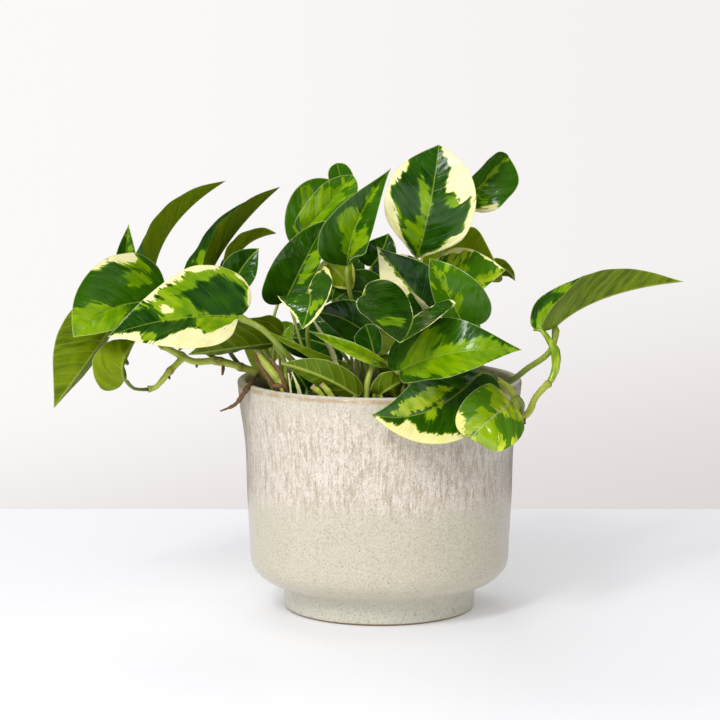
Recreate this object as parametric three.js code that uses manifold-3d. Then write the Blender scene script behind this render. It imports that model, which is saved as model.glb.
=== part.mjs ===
// A pothos in a round glazed stoneware pot: pot, soil, trailing vines and every leaf on its stalk.
// Millimetres, +Z up. The origin is the middle of the pot's flat foot, and the front faces -Y.
import * as THREE from 'three';
import { mergeVertices } from 'three/addons/utils/BufferGeometryUtils.js';
import Module from 'manifold-3d';

const wasm = await Module();
wasm.setup();

// Driving dimensions
const potHeight = 131;
const rimRadius = 80;
const footRadius = 54;
const footHeight = 12.5;
const lipWidth = 5;
const wallThickness = 5;
const floorThickness = 8;
const soilTop = 113;
const soilEdgeRadius = 72.3;
const rootLevel = 100;
const clearance = 0.3;
const bladeThickness = 0.6;
const stalkRadius = 1.3;
const slimStalkRadius = 0.9;
const knuckleRatio = 1.3;
const smallLeafWidth = 15;

// A leaf's outline: how far the lobe swings back, how square its shoulder is and how full its tip is.
const lobeSwing = 1.5;
const lobeShoulder = 1.3;
const leastSwing = 0.01;
const tipShoulder = { least: 0.3, gain: 0.32 };
const tipHandle = { along: 0.8, alongGain: 0.13, across: 0.24, acrossGain: 0.12 };

// The margin's gentle wave: waves along the leaf and the shift between its two halves.
const waveCount = 1.6;
const waveShift = 0.23;

// Mesh fineness
const potSides = 40;
const soilSides = 24;
const bladeRows = 6;
const bladeColumns = 2;
const stalkSides = 5;
const vineSides = 6;
const stalkStep = 14;
const vineStep = 9;

// The pot's outer wall as radius and height: the rounded shoulder over the foot, then the flaring wall.
const shoulderLine = [[61, 15.5], [68.5, 20], [72.2, 25]];
const wallLine = [[73.5, 33], [74.4, 55], [75, 78], [76, 95], [78.2, 112]];
const insideShoulderLine = [[52, 17], [60, 20.5], [66.5, 26]];

const colours = {
  stoneware: 0xcfc9b6,
  soil: 0x3b2c22,
  stem: 0x9db35a,
  dryStem: 0x8d7a5c,
  root: 0x7a5230,
  leaf: 0x2f6b22,
  lime: 0x7fae2a,
  cream: 0xe6e2a0,
  underside: 0x70882e,
};

// Joins and cuts work on closed solids whose shared corners are one vertex.
function toSolid(geometry) {
  const bare = geometry.clone();
  bare.deleteAttribute('normal');
  bare.deleteAttribute('uv');
  const merged = mergeVertices(bare);
  const corners = Array.from(merged.index.array);
  const triangles = [];
  for (let i = 0; i < corners.length; i += 3) {
    const triangle = corners.slice(i, i + 3);
    if (new Set(triangle).size === 3) {
      triangles.push(...triangle);
    }
  }
  const mesh = new wasm.Mesh({
    numProp: 3,
    vertProperties: new Float32Array(merged.attributes.position.array),
    triVerts: new Uint32Array(triangles),
  });
  return new wasm.Manifold(mesh);
}

function toGeometry(solid) {
  const mesh = solid.getMesh();
  const geometry = new THREE.BufferGeometry();
  geometry.setAttribute('position', new THREE.BufferAttribute(new Float32Array(mesh.vertProperties), 3));
  geometry.setIndex(new THREE.BufferAttribute(new Uint32Array(mesh.triVerts), 1));
  geometry.computeVertexNormals();
  return geometry;
}

function polyhedron(points, faces) {
  const geometry = new THREE.BufferGeometry();
  geometry.setAttribute('position', new THREE.Float32BufferAttribute(points.flatMap((p) => p.toArray()), 3));
  geometry.setIndex(faces.flat());
  return geometry;
}

const vector = (values) => new THREE.Vector3(...values);

// A tapering tube with closed ends along a smooth curve; grow widens and lengthens it on all sides.
function tube(path, radii, sides, step, grow = 0) {
  const curve = new THREE.CatmullRomCurve3(path.map(vector), false, 'centripetal');
  const steps = Math.max(3, Math.round(curve.getLength() / step));
  const frames = curve.computeFrenetFrames(steps, false);
  const points = [];
  for (let i = 0; i <= steps; i += 1) {
    const along = i / steps;
    const spot = along * (radii.length - 1);
    const slot = Math.min(Math.floor(spot), radii.length - 2);
    const radius = THREE.MathUtils.lerp(radii[slot], radii[slot + 1], spot - slot) + grow;
    const centre = curve.getPointAt(along);
    const end = i === 0 ? -grow : (i === steps ? grow : 0);
    centre.addScaledVector(frames.tangents[i], end);
    for (let j = 0; j < sides; j += 1) {
      const angle = (j / sides) * 2 * Math.PI;
      points.push(centre.clone()
        .addScaledVector(frames.normals[i], radius * Math.cos(angle))
        .addScaledVector(frames.binormals[i], radius * Math.sin(angle)));
    }
  }
  const faces = [];
  for (let i = 0; i < steps; i += 1) {
    for (let j = 0; j < sides; j += 1) {
      const a = i * sides + j;
      const b = i * sides + ((j + 1) % sides);
      faces.push([a, b, b + sides], [a, b + sides, a + sides]);
    }
  }
  const last = steps * sides;
  for (let j = 1; j < sides - 1; j += 1) {
    faces.push([0, j + 1, j], [last, last + j, last + j + 1]);
  }
  return toSolid(polyhedron(points, faces));
}

// Half of a leaf's outline, flat: x runs along the midrib from the stalk (0) to the tip (1), and
// y from the midrib (0) to the widest place (1). The lobe reaches back behind the stalk.
function outlinePoint(s, lobe, widest, fullness) {
  const shoulder = widest + (tipShoulder.least + tipShoulder.gain * fullness) * (1 - widest);
  const handleAlong = tipHandle.along + tipHandle.alongGain * fullness;
  const handleAcross = tipHandle.across + tipHandle.acrossGain * fullness;
  const lobeCurve = new THREE.CubicBezierCurve(
    new THREE.Vector2(0, 0),
    new THREE.Vector2(-lobeSwing * lobe - leastSwing, 0.25),
    new THREE.Vector2(-lobeShoulder * lobe, 1),
    new THREE.Vector2(widest, 1),
  );
  const tipCurve = new THREE.CubicBezierCurve(
    new THREE.Vector2(widest, 1),
    new THREE.Vector2(shoulder, 1),
    new THREE.Vector2(handleAlong, handleAcross),
    new THREE.Vector2(1, 0),
  );
  return s < 0.5 ? lobeCurve.getPoint(2 * s) : tipCurve.getPoint(2 * s - 1);
}

// A point of the blade's middle surface. side is 0 for the left half and 1 for the right half,
// s runs from the stalk to the tip along the margin, and v from the midrib to the margin.
function bladePoint(leaf, side, s, v) {
  const sign = side === 0 ? 1 : -1;
  const edge = outlinePoint(s, leaf.lobe[side], leaf.widest[side], leaf.fullness[side]);
  const foot = s ** 3;
  const x = foot + (edge.x - foot) * v;
  const y = edge.y * leaf.half[side] * v;
  const inside = THREE.MathUtils.clamp(x, 0, 1);
  const tangent = leaf.midrib.getTangentAt(inside);
  const point = leaf.midrib.getPointAt(inside).addScaledVector(tangent, (x - inside) * leaf.length);
  const normal = leaf.face.clone().lerp(leaf.faceTip, inside);
  normal.addScaledVector(tangent, -normal.dot(tangent)).normalize();
  const across = new THREE.Vector3().crossVectors(normal, tangent).multiplyScalar(sign);
  const fold = THREE.MathUtils.degToRad(leaf.fold[side]);
  const curl = THREE.MathUtils.degToRad(leaf.curl[side] || 0.1);
  const reach = leaf.half[side] / curl;
  const turned = fold + curl * (y / leaf.half[side]);
  const phase = 2 * Math.PI * (waveCount * x + waveShift * sign);
  const wave = leaf.wave * Math.sin(phase) * (y / leaf.half[side]) ** 2;
  point.addScaledVector(across, reach * (Math.sin(turned) - Math.sin(fold)));
  return point.addScaledVector(normal, reach * (Math.cos(fold) - Math.cos(turned)) + wave);
}

// The blade as a thin closed solid: an upper and a lower sheet joined round the margin.
function blade(leaf) {
  const points = [bladePoint(leaf, 0, 0, 0), bladePoint(leaf, 0, 1, 0)];
  const columns = [[]];
  for (let i = 1; i < bladeRows; i += 1) {
    columns[0][i] = points.push(bladePoint(leaf, 0, i / bladeRows, 0)) - 1;
  }
  const halves = [0, 1].map((side) => {
    const half = [columns[0]];
    for (let j = 1; j <= bladeColumns; j += 1) {
      half[j] = [];
      for (let i = 1; i < bladeRows; i += 1) {
        half[j][i] = points.push(bladePoint(leaf, side, i / bladeRows, j / bladeColumns)) - 1;
      }
    }
    return half;
  });
  const upper = [];
  halves.forEach((half, side) => {
    const add = (a, b, c) => upper.push(side === 0 ? [a, b, c] : [a, c, b]);
    for (let j = 0; j < bladeColumns; j += 1) {
      add(0, half[j][1], half[j + 1][1]);
      add(1, half[j + 1][bladeRows - 1], half[j][bladeRows - 1]);
      for (let i = 1; i < bladeRows - 1; i += 1) {
        add(half[j][i], half[j][i + 1], half[j + 1][i + 1]);
        add(half[j][i], half[j + 1][i + 1], half[j + 1][i]);
      }
    }
  });
  const sheet = polyhedron(points, upper);
  sheet.computeVertexNormals();
  const normals = points.map((p, i) => new THREE.Vector3().fromBufferAttribute(sheet.attributes.normal, i));
  const solidPoints = [
    ...points.map((p, i) => p.clone().addScaledVector(normals[i], bladeThickness / 2)),
    ...points.map((p, i) => p.clone().addScaledVector(normals[i], -bladeThickness / 2)),
  ];
  const count = points.length;
  const faces = [...upper, ...upper.map(([a, b, c]) => [a + count, c + count, b + count])];
  const [left, right] = halves.map((half) => half[bladeColumns].slice(1));
  const margin = [0, ...left, 1, ...right.reverse()];
  margin.forEach((a, i) => {
    const b = margin[(i + 1) % margin.length];
    faces.push([a, b + count, b].reverse(), [a, a + count, b + count].reverse());
  });
  return toSolid(polyhedron(solidPoints, faces));
}

// Fills in what a leaf's entry leaves out and works out its midrib.
function preparedLeaf(entry) {
  const leaf = {
    curl: [0, 0], lobe: [0.08, 0.08], widest: [0.34, 0.34], fullness: [0.4, 0.4], wave: 1,
    colour: colours.leaf, ...entry,
  };
  leaf.thick = Math.min(...leaf.half) < smallLeafWidth ? slimStalkRadius : stalkRadius;
  const base = vector(leaf.base);
  const tip = vector(leaf.tip);
  const control = vector(leaf.mid).multiplyScalar(2).addScaledVector(base, -0.5).addScaledVector(tip, -0.5);
  leaf.midrib = new THREE.QuadraticBezierCurve3(base, control, tip);
  leaf.length = leaf.midrib.getLength();
  leaf.face = vector(leaf.face).normalize();
  leaf.faceTip = leaf.faceTip ? vector(leaf.faceTip).normalize() : leaf.face;
  return leaf;
}

function stalk(leaf, grow = 0) {
  return tube([leaf.base, ...leaf.stalk], [leaf.thick, leaf.thick], stalkSides, stalkStep, grow);
}

// A leaf is one solid: blade, the knuckle at its foot, and the stalk down to the soil or the vine.
function leafSolid(leaf, vineHoles) {
  const knuckle = new THREE.OctahedronGeometry(leaf.thick * knuckleRatio, 0);
  knuckle.translate(...leaf.base);
  let foot = stalk(leaf);
  if (leaf.joins) {
    foot = foot.subtract(vineHoles[leaf.joins]);
  }
  return blade(leaf).add(toSolid(knuckle)).add(foot);
}

// The pot's section, from the middle of the foot up the outside and down the inside.
function potProfile() {
  const foot = [[0, 0], [footRadius - 1, 0], [footRadius, 1], [footRadius + 2, footHeight]];
  const lip = [
    [rimRadius - 0.3, potHeight - 5], [rimRadius, potHeight - 2.5], [rimRadius - 0.8, potHeight - 0.6],
    [rimRadius - lipWidth / 2, potHeight], [rimRadius - lipWidth + 0.8, potHeight - 0.6],
    [rimRadius - lipWidth, potHeight - 3],
  ];
  return [...foot, ...shoulderLine, ...wallLine, ...lip, ...insideProfile(0).reverse()];
}

// The inside of the floor and wall, from the axis up, drawn in by a gap.
function insideProfile(gap) {
  const well = footRadius - wallThickness - gap;
  return [
    [0, floorThickness + gap], [well, floorThickness + gap], [well, footHeight + 2],
    ...insideShoulderLine.map(([r, z]) => [r - gap, z + gap]),
    ...wallLine.map(([r, z]) => [r - wallThickness - gap, z]),
  ];
}

function lathe(profile, sides) {
  const geometry = new THREE.LatheGeometry(profile.map(([r, z]) => new THREE.Vector2(r, z)), sides);
  geometry.rotateX(Math.PI / 2);
  return toSolid(geometry);
}


// Vines, the cut stem, the furled new leaf and the loose root: radii spread evenly from end to end.
const vines = [
  {
    name: 'left_vine', radii: [2.3, 1.7],
    path: [
      [-51, -7, rootLevel], [-62, -8, 131], [-69, -9, 135], [-77, -10, 138],
      [-83, -11, 140], [-91, -12, 142], [-104, -14, 142], [-112, -15, 146],
      [-122, -16, 152], [-130, -10, 159], [-134, -4, 163],
    ],
  },
  {
    name: 'side_vine', radii: [1.9, 1.5], joins: 'left_vine',
    path: [
      [-109, -15, 145], [-114, -16, 140], [-117, -17, 137], [-122, -18, 131],
      [-125, -18, 128], [-129, -19, 127],
    ],
  },
  {
    name: 'cut_stem', colour: colours.dryStem, radii: [2.3, 2.2],
    path: [
      [-49, -43, rootLevel], [-53, -41, 131], [-56, -38, 135], [-62, -34, 142],
      [-68, -30, 148],
    ],
  },
  {
    name: 'right_vine', radii: [2.3, 1.8],
    path: [
      [38, -12, rootLevel], [50, -22, 138], [54, -28, 136], [65, -40, 134],
      [71, -48, 131], [76, -51, 120], [78, -49, 116], [82, -45, 119],
      [85, -41, 125], [90, -36, 130], [93, -32, 132],
    ],
  },
  {
    name: 'new_leaf', radii: [1.6, 2.4, 2.6, 1.6, 0.6], joins: 'right_vine',
    path: [
      [94, -32, 133], [97, -30, 140], [97, -28, 149], [94, -27, 155],
      [89, -26, 161], [85, -25, 161],
    ],
  },
  {
    name: 'aerial_root', colour: colours.root, radii: [1, 0.5], joins: 'left_vine',
    path: [
      [-68, -9, 134], [-69, -22, 134], [-71, -31, 133], [-74, -37, 129],
      [-76, -39, 126], [-80, -37, 121], [-88, -34, 117],
    ],
  },
];

// Each leaf: its midrib's base, middle and tip, the way its upper face looks, the half widths and
// the upward fold of its left and right halves, and its stalk's path down to the soil or a vine.
const leaves = [
  {
    name: 'leaf_far_left_hanging', colour: colours.underside,
    base: [-144, 4, 170], mid: [-161, -6, 145], tip: [-183, -10, 115],
    face: [-0.7, 0.6, 0.3], half: [26, 24], fold: [27, 27], curl: [6, 10], fullness: [0.3, 0.3],
    stalk: [[-139, 3, 169], [-134, -4, 163]], joins: 'left_vine',
  },
  {
    name: 'leaf_left_shield',
    base: [-123, -6, 174], mid: [-147, -24, 173], tip: [-169, -32, 158],
    face: [0.2, -0.7, 0.7], half: [29, 28], fold: [30, 30], fullness: [0.6, 0.6],
    stalk: [[-120, -10, 166], [-121, -16, 151]], joins: 'left_vine',
  },
  {
    name: 'leaf_left_cream', colour: colours.cream,
    base: [-77, -38, 170], mid: [-113, -50, 170], tip: [-148, -54, 161],
    face: [0.1, -0.8, 0.6], half: [28, 28], fold: [24, 24], lobe: [-0.06, 0.1], widest: [0.42, 0.26],
    fullness: [0.3, -0.1],
    stalk: [[-64, -46, 164], [-53, -44, 152], [-44, -36, 139], [-37, -32, rootLevel]],
  },
  {
    name: 'leaf_left_spike',
    base: [-144, 10, 179], mid: [-143, 8, 199], tip: [-141, 6, 217],
    face: [0.1, -1, -0.1], half: [8, 8], fold: [35, 35],
    stalk: [[-139, 14, 173], [-130, 8, 161], [-128, -11, 157]], joins: 'left_vine',
  },
  {
    name: 'leaf_left_blade', colour: colours.underside,
    base: [-129, 14, 180], mid: [-119, 30, 212], tip: [-88, 44, 239],
    face: [-0.8, 0, 0.6], half: [24, 24], fold: [28, 28],
    stalk: [[-119, 16, 166], [-107, 4, 155], [-97, -6, 146], [-89, -12, 142]], joins: 'left_vine',
  },
  {
    name: 'leaf_second_blade',
    base: [-99, 20, 182], mid: [-83, 36, 209], tip: [-57, 52, 235],
    face: [-0.7, -0.1, 0.7], half: [21, 24], fold: [33, 33],
    stalk: [[-95, 18, 170], [-89, 10, 156], [-85, 3, 146], [-78, -10, 138]], joins: 'left_vine',
  },
  {
    name: 'leaf_small_hook', colour: colours.underside,
    base: [-86, 24, 188], mid: [-76, 30, 203], tip: [-59, 40, 209],
    face: [-0.7, 0.1, 0.7], half: [13, 13], fold: [28, 28],
    stalk: [[-84, 24, 172], [-75, 16, 150], [-66, 12, 140], [-46, 14, rootLevel]],
  },
  {
    name: 'leaf_small_dark',
    base: [-82, 12, 183], mid: [-77, 10, 193], tip: [-68, 12, 203],
    face: [0, -1, 0], half: [11, 10], fold: [20, 20],
    stalk: [[-79, 12, 168], [-71, 10, 148], [-63, 8, 139], [-42, 8, rootLevel]],
  },
  {
    name: 'leaf_vine_tip', colour: colours.lime,
    base: [-142, -22, 133], mid: [-142, -26, 144], tip: [-136, -16, 154],
    face: [-0.7, 0.7, 0], half: [14, 16], fold: [38, 38], lobe: [0.2, 0.2],
    stalk: [[-137, -22, 128], [-132, -20, 127], [-129, -19, 127]], joins: 'side_vine',
  },
  {
    name: 'leaf_under_olive', colour: colours.underside,
    base: [-58, -17, 153], mid: [-80, -24, 151], tip: [-106, -31, 148],
    face: [-0.2, 0.5, 0.8], half: [24, 20], fold: [17, 17],
    stalk: [[-53, -21, 143], [-52, -28, 133], [-51, -32, rootLevel]],
  },
  {
    name: 'leaf_rim_olive', colour: colours.underside,
    base: [-13, -58, 129], mid: [-32, -60, 140], tip: [-54, -52, 146],
    face: [0.1, 1, -0.1], half: [10, 7], fold: [12, 35], lobe: [0.05, 0], widest: [0.35, 0.4],
    fullness: [0.5, 0.5],
    stalk: [[-19, -60, rootLevel]],
  },
  {
    name: 'leaf_centre_dark',
    base: [-53, -5, 175], mid: [-41, -17, 200], tip: [-30, -15, 221],
    face: [-0.2, -1, -0.1], half: [17, 12], fold: [30, 34], lobe: [0.1, -0.05], widest: [0.34, 0.4],
    fullness: [0.75, 0.6],
    stalk: [[-49, -14, 170], [-46, -16, 160], [-43, -15, 149], [-38, -15, rootLevel]],
  },
  {
    name: 'leaf_twisted_edge', colour: colours.cream,
    base: [-39, -45, 184], mid: [-38, -58, 180], tip: [-42, -62, 166],
    face: [0, -0.7, 0.7], half: [17, 18], fold: [30, -8], curl: [30, 18], lobe: [0.6, -0.05],
    widest: [0.3, 0.3], fullness: [0.25, 0.3],
    stalk: [[-38, -35, 176], [-40, -30, 159], [-39, -26, 150], [-33, -23, rootLevel]],
  },
  {
    name: 'leaf_olive_behind', colour: colours.underside,
    base: [-30, -8, 198], mid: [-23, -10, 191], tip: [-15, -8, 182],
    face: [0, 1, 0], half: [9, 10], fold: [15, 15], fullness: [0.9, 0.9],
    stalk: [[-33, 0, 191], [-32, 0, 164], [-28, -4, rootLevel]],
  },
  {
    name: 'leaf_back_left',
    base: [-43, 18, 207], mid: [-40, 14, 227], tip: [-26, 16, 241],
    face: [0, -1, 0], half: [11.7, 10.8], fold: [15, 15], widest: [0.5, 0.5], fullness: [0.8, 0.8],
    stalk: [[-50, 14, 190], [-57, 8, 173], [-60, 4, 161], [-57, 2, 145], [-50, 2, rootLevel]],
  },
  {
    name: 'leaf_cone', colour: colours.lime,
    base: [-44, 4, 212], mid: [-31, -4, 226], tip: [-15, 3, 245],
    face: [-0.2, -1, 0.1], half: [10.5, 17], fold: [22, 42], lobe: [0, 0], widest: [0.5, 0.55],
    fullness: [1, 1],
    stalk: [[-38, 6, 196], [-32, 8, 174], [-30, 8, 151], [-26, 9, rootLevel]],
  },
  {
    name: 'leaf_lime_patch',
    base: [-18, -24, 196], mid: [-12, -38, 223], tip: [6, -32, 251],
    face: [-0.2, -1, 0], half: [20, 15], fold: [38, 38], lobe: [-0.06, -0.18], widest: [0.34, 0.34],
    fullness: [-0.5, 0.1],
    stalk: [[-18, -23, 190], [-15, -14, 171], [-13, -11, 151], [-12, -10, rootLevel]],
  },
  {
    name: 'leaf_grey_back',
    base: [-5, 8, 193], mid: [1, 2, 202], tip: [5, 6, 212],
    face: [-0.2, -1, 0], half: [11, 11], fold: [15, 15],
    stalk: [[-8, 10, 174], [-10, 12, 151], [-8, 14, rootLevel]],
  },
  {
    name: 'leaf_big_cream_top', colour: colours.cream,
    base: [20, -22, 200], mid: [27, -40, 231], tip: [32, -34, 264],
    face: [-0.1, -1, -0.2], half: [25, 25], fold: [8, 8], lobe: [-0.16, -0.16], widest: [0.55, 0.55],
    fullness: [0.9, 0.9],
    stalk: [[21, -18, 193], [23, -8, 176], [20, -2, 152], [20, -2, rootLevel]],
  },
  {
    name: 'leaf_right_top',
    base: [44, -3, 229], mid: [57, -9, 241], tip: [71, -2, 257],
    face: [0.3, -0.9, -0.2], half: [16, 17], fold: [38, 38], lobe: [-0.1, -0.1], widest: [0.6, 0.6],
    fullness: [0.9, 0.9],
    stalk: [[37, 0, 209], [31, 2, 186], [24, 6, 157], [21, 11, rootLevel]],
  },
  {
    name: 'leaf_back_cream_edge', colour: colours.underside,
    base: [29, 22, 185], mid: [47, 16, 191], tip: [66, 6, 195],
    face: [0.2, 0.8, 0.6], half: [22, 24], fold: [20, 20], widest: [0.75, 0.75], fullness: [1, 1],
    stalk: [[26, 26, 172], [21, 27, 149], [15, 28, rootLevel]],
  },
  {
    name: 'leaf_right_mid', colour: colours.lime,
    base: [34, -13, 175], mid: [52, -25, 187], tip: [69, -32, 195],
    face: [-0.6, -0.6, 0.5], half: [24, 21], fold: [27, 27], fullness: [0.6, 0.6],
    stalk: [[32, -9, 162], [28, -8, 148], [31, -8, rootLevel]],
  },
  {
    name: 'leaf_hook_tip', colour: colours.underside,
    base: [61, 28, 190], mid: [71, 24, 190], tip: [77, 16, 184],
    face: [0.6, 0.7, 0.2], half: [6, 5], fold: [20, 20],
    stalk: [[44, 36, 177], [36, 33, 154], [34, 28, rootLevel]],
  },
  {
    name: 'leaf_right_pair',
    base: [45, -40, 167], mid: [36, -44, 185], tip: [27, -36, 202],
    face: [0.2, -1, 0.2], half: [14, 20], fold: [38, 34], lobe: [0.08, 0.12], widest: [0.34, 0.24],
    fullness: [0.3, 0.3],
    stalk: [[46, -36, 160], [43, -32, 150], [42, -28, rootLevel]],
  },
  {
    name: 'leaf_centre_cup',
    base: [18, -56, 172], mid: [15, -74, 166], tip: [10, -96, 163],
    face: [-0.3, -0.8, 0.6], half: [30, 32], fold: [22, 38], lobe: [0, 0.62], widest: [0.4, 0.36],
    fullness: [1.1, 1],
    stalk: [[17, -44, 163], [14, -38, 150], [12, -33, rootLevel]],
  },
  {
    name: 'leaf_cream_spike', colour: colours.cream,
    base: [27, -27, 172], mid: [13, -29, 189], tip: [-2, -29, 208],
    face: [0.1, -1, 0], half: [17, 17], fold: [12, 12], fullness: [0, 0],
    stalk: [[27, -23, 161], [25, -20, 149], [24, -19, rootLevel]],
  },
  {
    name: 'leaf_big_right_lime', colour: colours.lime,
    base: [10, -62, 143], mid: [38, -85, 156], tip: [75, -86, 158],
    face: [-0.4, -0.7, 0.6], half: [22, 18], fold: [15, 15], lobe: [0.16, -0.06], widest: [0.36, 0.45],
    fullness: [0.2, 0.3],
    stalk: [[4, -62, 139], [-1, -59, 135], [-3, -56, 128], [-4, -54, rootLevel]],
  },
  {
    name: 'leaf_rim_front_cream', colour: colours.cream,
    base: [53, -58, 141], mid: [25, -80, 124], tip: [-5, -91, 124],
    face: [0.4, -0.9, 0.3], half: [22, 22], fold: [18, 18], widest: [0.4, 0.4], fullness: [0.5, 0.5],
    stalk: [[58, -52, 141], [64, -40, 134]], joins: 'right_vine',
  },
  {
    name: 'leaf_rim_right_lime', colour: colours.lime,
    base: [71, -62, 126], mid: [58, -84, 120], tip: [48, -84, 110],
    face: [0.4, -0.8, 0.5], half: [18.5, 17.5], fold: [8, 10], lobe: [-0.03, -0.04], widest: [0.62, 0.62],
    fullness: [1.5, 1.6],
    stalk: [[74, -63, 129], [77, -60, 125], [77, -50, 118]], joins: 'right_vine',
  },
  {
    name: 'leaf_long_right', colour: colours.underside,
    base: [97, -20, 162], mid: [126, -14, 178], tip: [170, -6, 186],
    face: [-0.3, 0.1, 0.9], faceTip: [-0.4, 0.5, 0.8], half: [22, 23], fold: [55, 33], lobe: [0.12, 0.1],
    fullness: [0.1, 0],
    stalk: [[97, -22, 155], [95, -24, 150], [91, -26, 146], [82, -32, 141], [71, -38, 134], [65, -40, 134]],
    joins: 'right_vine',
  },
  {
    name: 'leaf_strip_leaf', colour: colours.underside,
    base: [-20, -33, 144], mid: [-41, -39, 153], tip: [-64, -37, 163],
    face: [-0.4, -0.2, -0.9], half: [12, 10], fold: [30, 30],
    stalk: [[-15, -31, 138], [-16, -26, rootLevel]],
  },
  {
    name: 'leaf_inner_dark',
    base: [-9, -22, 160], mid: [-22, -26, 168], tip: [-36, -28, 171],
    face: [0.3, -0.9, 0.3], half: [12, 12], fold: [20, 20],
    stalk: [[-8, -20, 149], [-6, -20, rootLevel]],
  },
  {
    name: 'leaf_inner_mid',
    base: [-2, 3, 173], mid: [-14, -1, 180], tip: [-27, -5, 174],
    face: [0.3, -0.9, 0.3], half: [13, 13], fold: [15, 15],
    stalk: [[-1, 7, 157], [2, 2, rootLevel]],
  },
  {
    name: 'leaf_rolled_glossy', colour: colours.lime,
    base: [-2, -52, 147], mid: [-20, -56, 156], tip: [-39, -52, 164],
    face: [0.1, -1, 0.2], half: [5.6, 5.8], fold: [50, 50], lobe: [0.1, 0.1], fullness: [0.3, 0.3],
    stalk: [[-4, -49, 144], [-7, -52, 135], [-8, -54, rootLevel]],
  },
  {
    name: 'leaf_low_dark',
    base: [-40, -38, 129], mid: [-43, -40, 135], tip: [-48, -40, 141],
    face: [0.2, -1, -0.1], half: [9, 9], fold: [15, 15],
    stalk: [[-38, -42, rootLevel]],
  },
  {
    name: 'leaf_under_lime', colour: colours.underside,
    base: [10, -42, 138], mid: [5, -44, 144], tip: [-2, -44, 149],
    face: [-0.2, 1, 0], half: [8, 8], fold: [20, 20],
    stalk: [[12, -45, 134], [19, -47, rootLevel]],
  },
  {
    name: 'leaf_low_right', colour: colours.underside,
    base: [0, -67, 131], mid: [7, -69, 136], tip: [13, -58, 137],
    face: [-0.5, 0.8, -0.1], half: [9, 9], fold: [15, 15],
    stalk: [[1, -66, rootLevel]],
  },
  {
    name: 'leaf_round_pale', colour: colours.lime,
    base: [-59, 14, 151], mid: [-54, 13, 156], tip: [-49, 14, 160],
    face: [0, -1, 0.1], half: [6, 7], fold: [10, 10], fullness: [1, 1],
    stalk: [[-60, 18, 143], [-60, 22, rootLevel]],
  },
  {
    name: 'leaf_ear',
    base: [-16, 12, 231], mid: [-21, 10, 241], tip: [-24, 14, 251],
    face: [0, -1, 0.1], half: [8.5, 8.5], fold: [35, 35], lobe: [-0.05, -0.05], widest: [0.55, 0.55],
    fullness: [1, 1],
    stalk: [[-14, 16, 221], [-16, 18, 195], [-16, 20, 150], [-15, 24, rootLevel]],
  },
  {
    name: 'leaf_inner_low',
    base: [-21, -4, 146], mid: [-36, -4, 152], tip: [-50, -3, 154],
    face: [0, -1, 0.3], half: [14, 13], fold: [18, 18], fullness: [0.6, 0.6],
    stalk: [[-17, -4, 139], [-21, -3, rootLevel]],
  },
  {
    name: 'leaf_glossy_lobe',
    base: [-3, -46, 149], mid: [-5, -45, 158], tip: [-8, -41, 166],
    face: [-0.2, -1, 0.2], half: [9, 8], fold: [25, 30], lobe: [-0.05, -0.05], widest: [0.55, 0.55],
    fullness: [1, 1],
    stalk: [[-1, -45, 140], [-2, -46, rootLevel]],
  },
  {
    name: 'leaf_rear_left_drape',
    base: [-41, 57, 149], mid: [-58, 86, 146], tip: [-72, 108, 113],
    face: [-0.3, 0.5, 0.8], half: [25, 25], fold: [12, 12],
    stalk: [[-38, 49, 127], [-34, 44, rootLevel]],
  },
  {
    name: 'leaf_rear_mid_drape',
    base: [-7, 66, 150], mid: [-6, 96, 148], tip: [-3, 124, 114],
    face: [0, 0.5, 0.9], half: [22, 22], fold: [12, 12],
    stalk: [[-7, 56, 128], [-6, 50, rootLevel]],
  },
  {
    name: 'leaf_rear_right_drape',
    base: [29, 58, 150], mid: [41, 86, 149], tip: [50, 110, 118],
    face: [0.3, 0.5, 0.8], half: [20, 21], fold: [12, 12],
    stalk: [[29, 51, 128], [28, 46, rootLevel]],
  },
  {
    name: 'leaf_rear_upper_left',
    base: [-26, 42, 172], mid: [-34, 64, 186], tip: [-42, 96, 178],
    face: [-0.2, -0.1, 1], half: [24, 24], fold: [18, 18],
    stalk: [[-23, 37, 140], [-20, 34, rootLevel]],
  },
  {
    name: 'leaf_rear_upper_right',
    base: [20, 44, 170], mid: [32, 66, 182], tip: [42, 98, 172],
    face: [0.2, -0.1, 1], half: [24, 24], fold: [18, 18],
    stalk: [[16, 39, 138], [12, 36, rootLevel]],
  },
  {
    name: 'leaf_rear_left_high',
    base: [-66, 33, 145], mid: [-93, 47, 150], tip: [-118, 61, 137],
    face: [-0.2, 0.1, 1], half: [22, 22], fold: [15, 15],
    stalk: [[-57, 30, 125], [-46, 28, rootLevel]],
  },
  {
    name: 'leaf_rear_right_low',
    base: [42, 36, 140], mid: [50, 62, 138], tip: [52, 88, 112],
    face: [0.4, 0.3, 0.9], half: [15, 15], fold: [15, 15],
    stalk: [[44, 29, 122], [46, 24, rootLevel]],
  },
];

const group = new THREE.Group();
group.name = 'potted_pothos';

function addPiece(name, solid, colour, roughness) {
  const material = new THREE.MeshStandardMaterial({ color: colour, roughness, metalness: 0 });
  const piece = new THREE.Mesh(toGeometry(solid), material);
  piece.name = name;
  group.add(piece);
}

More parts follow.
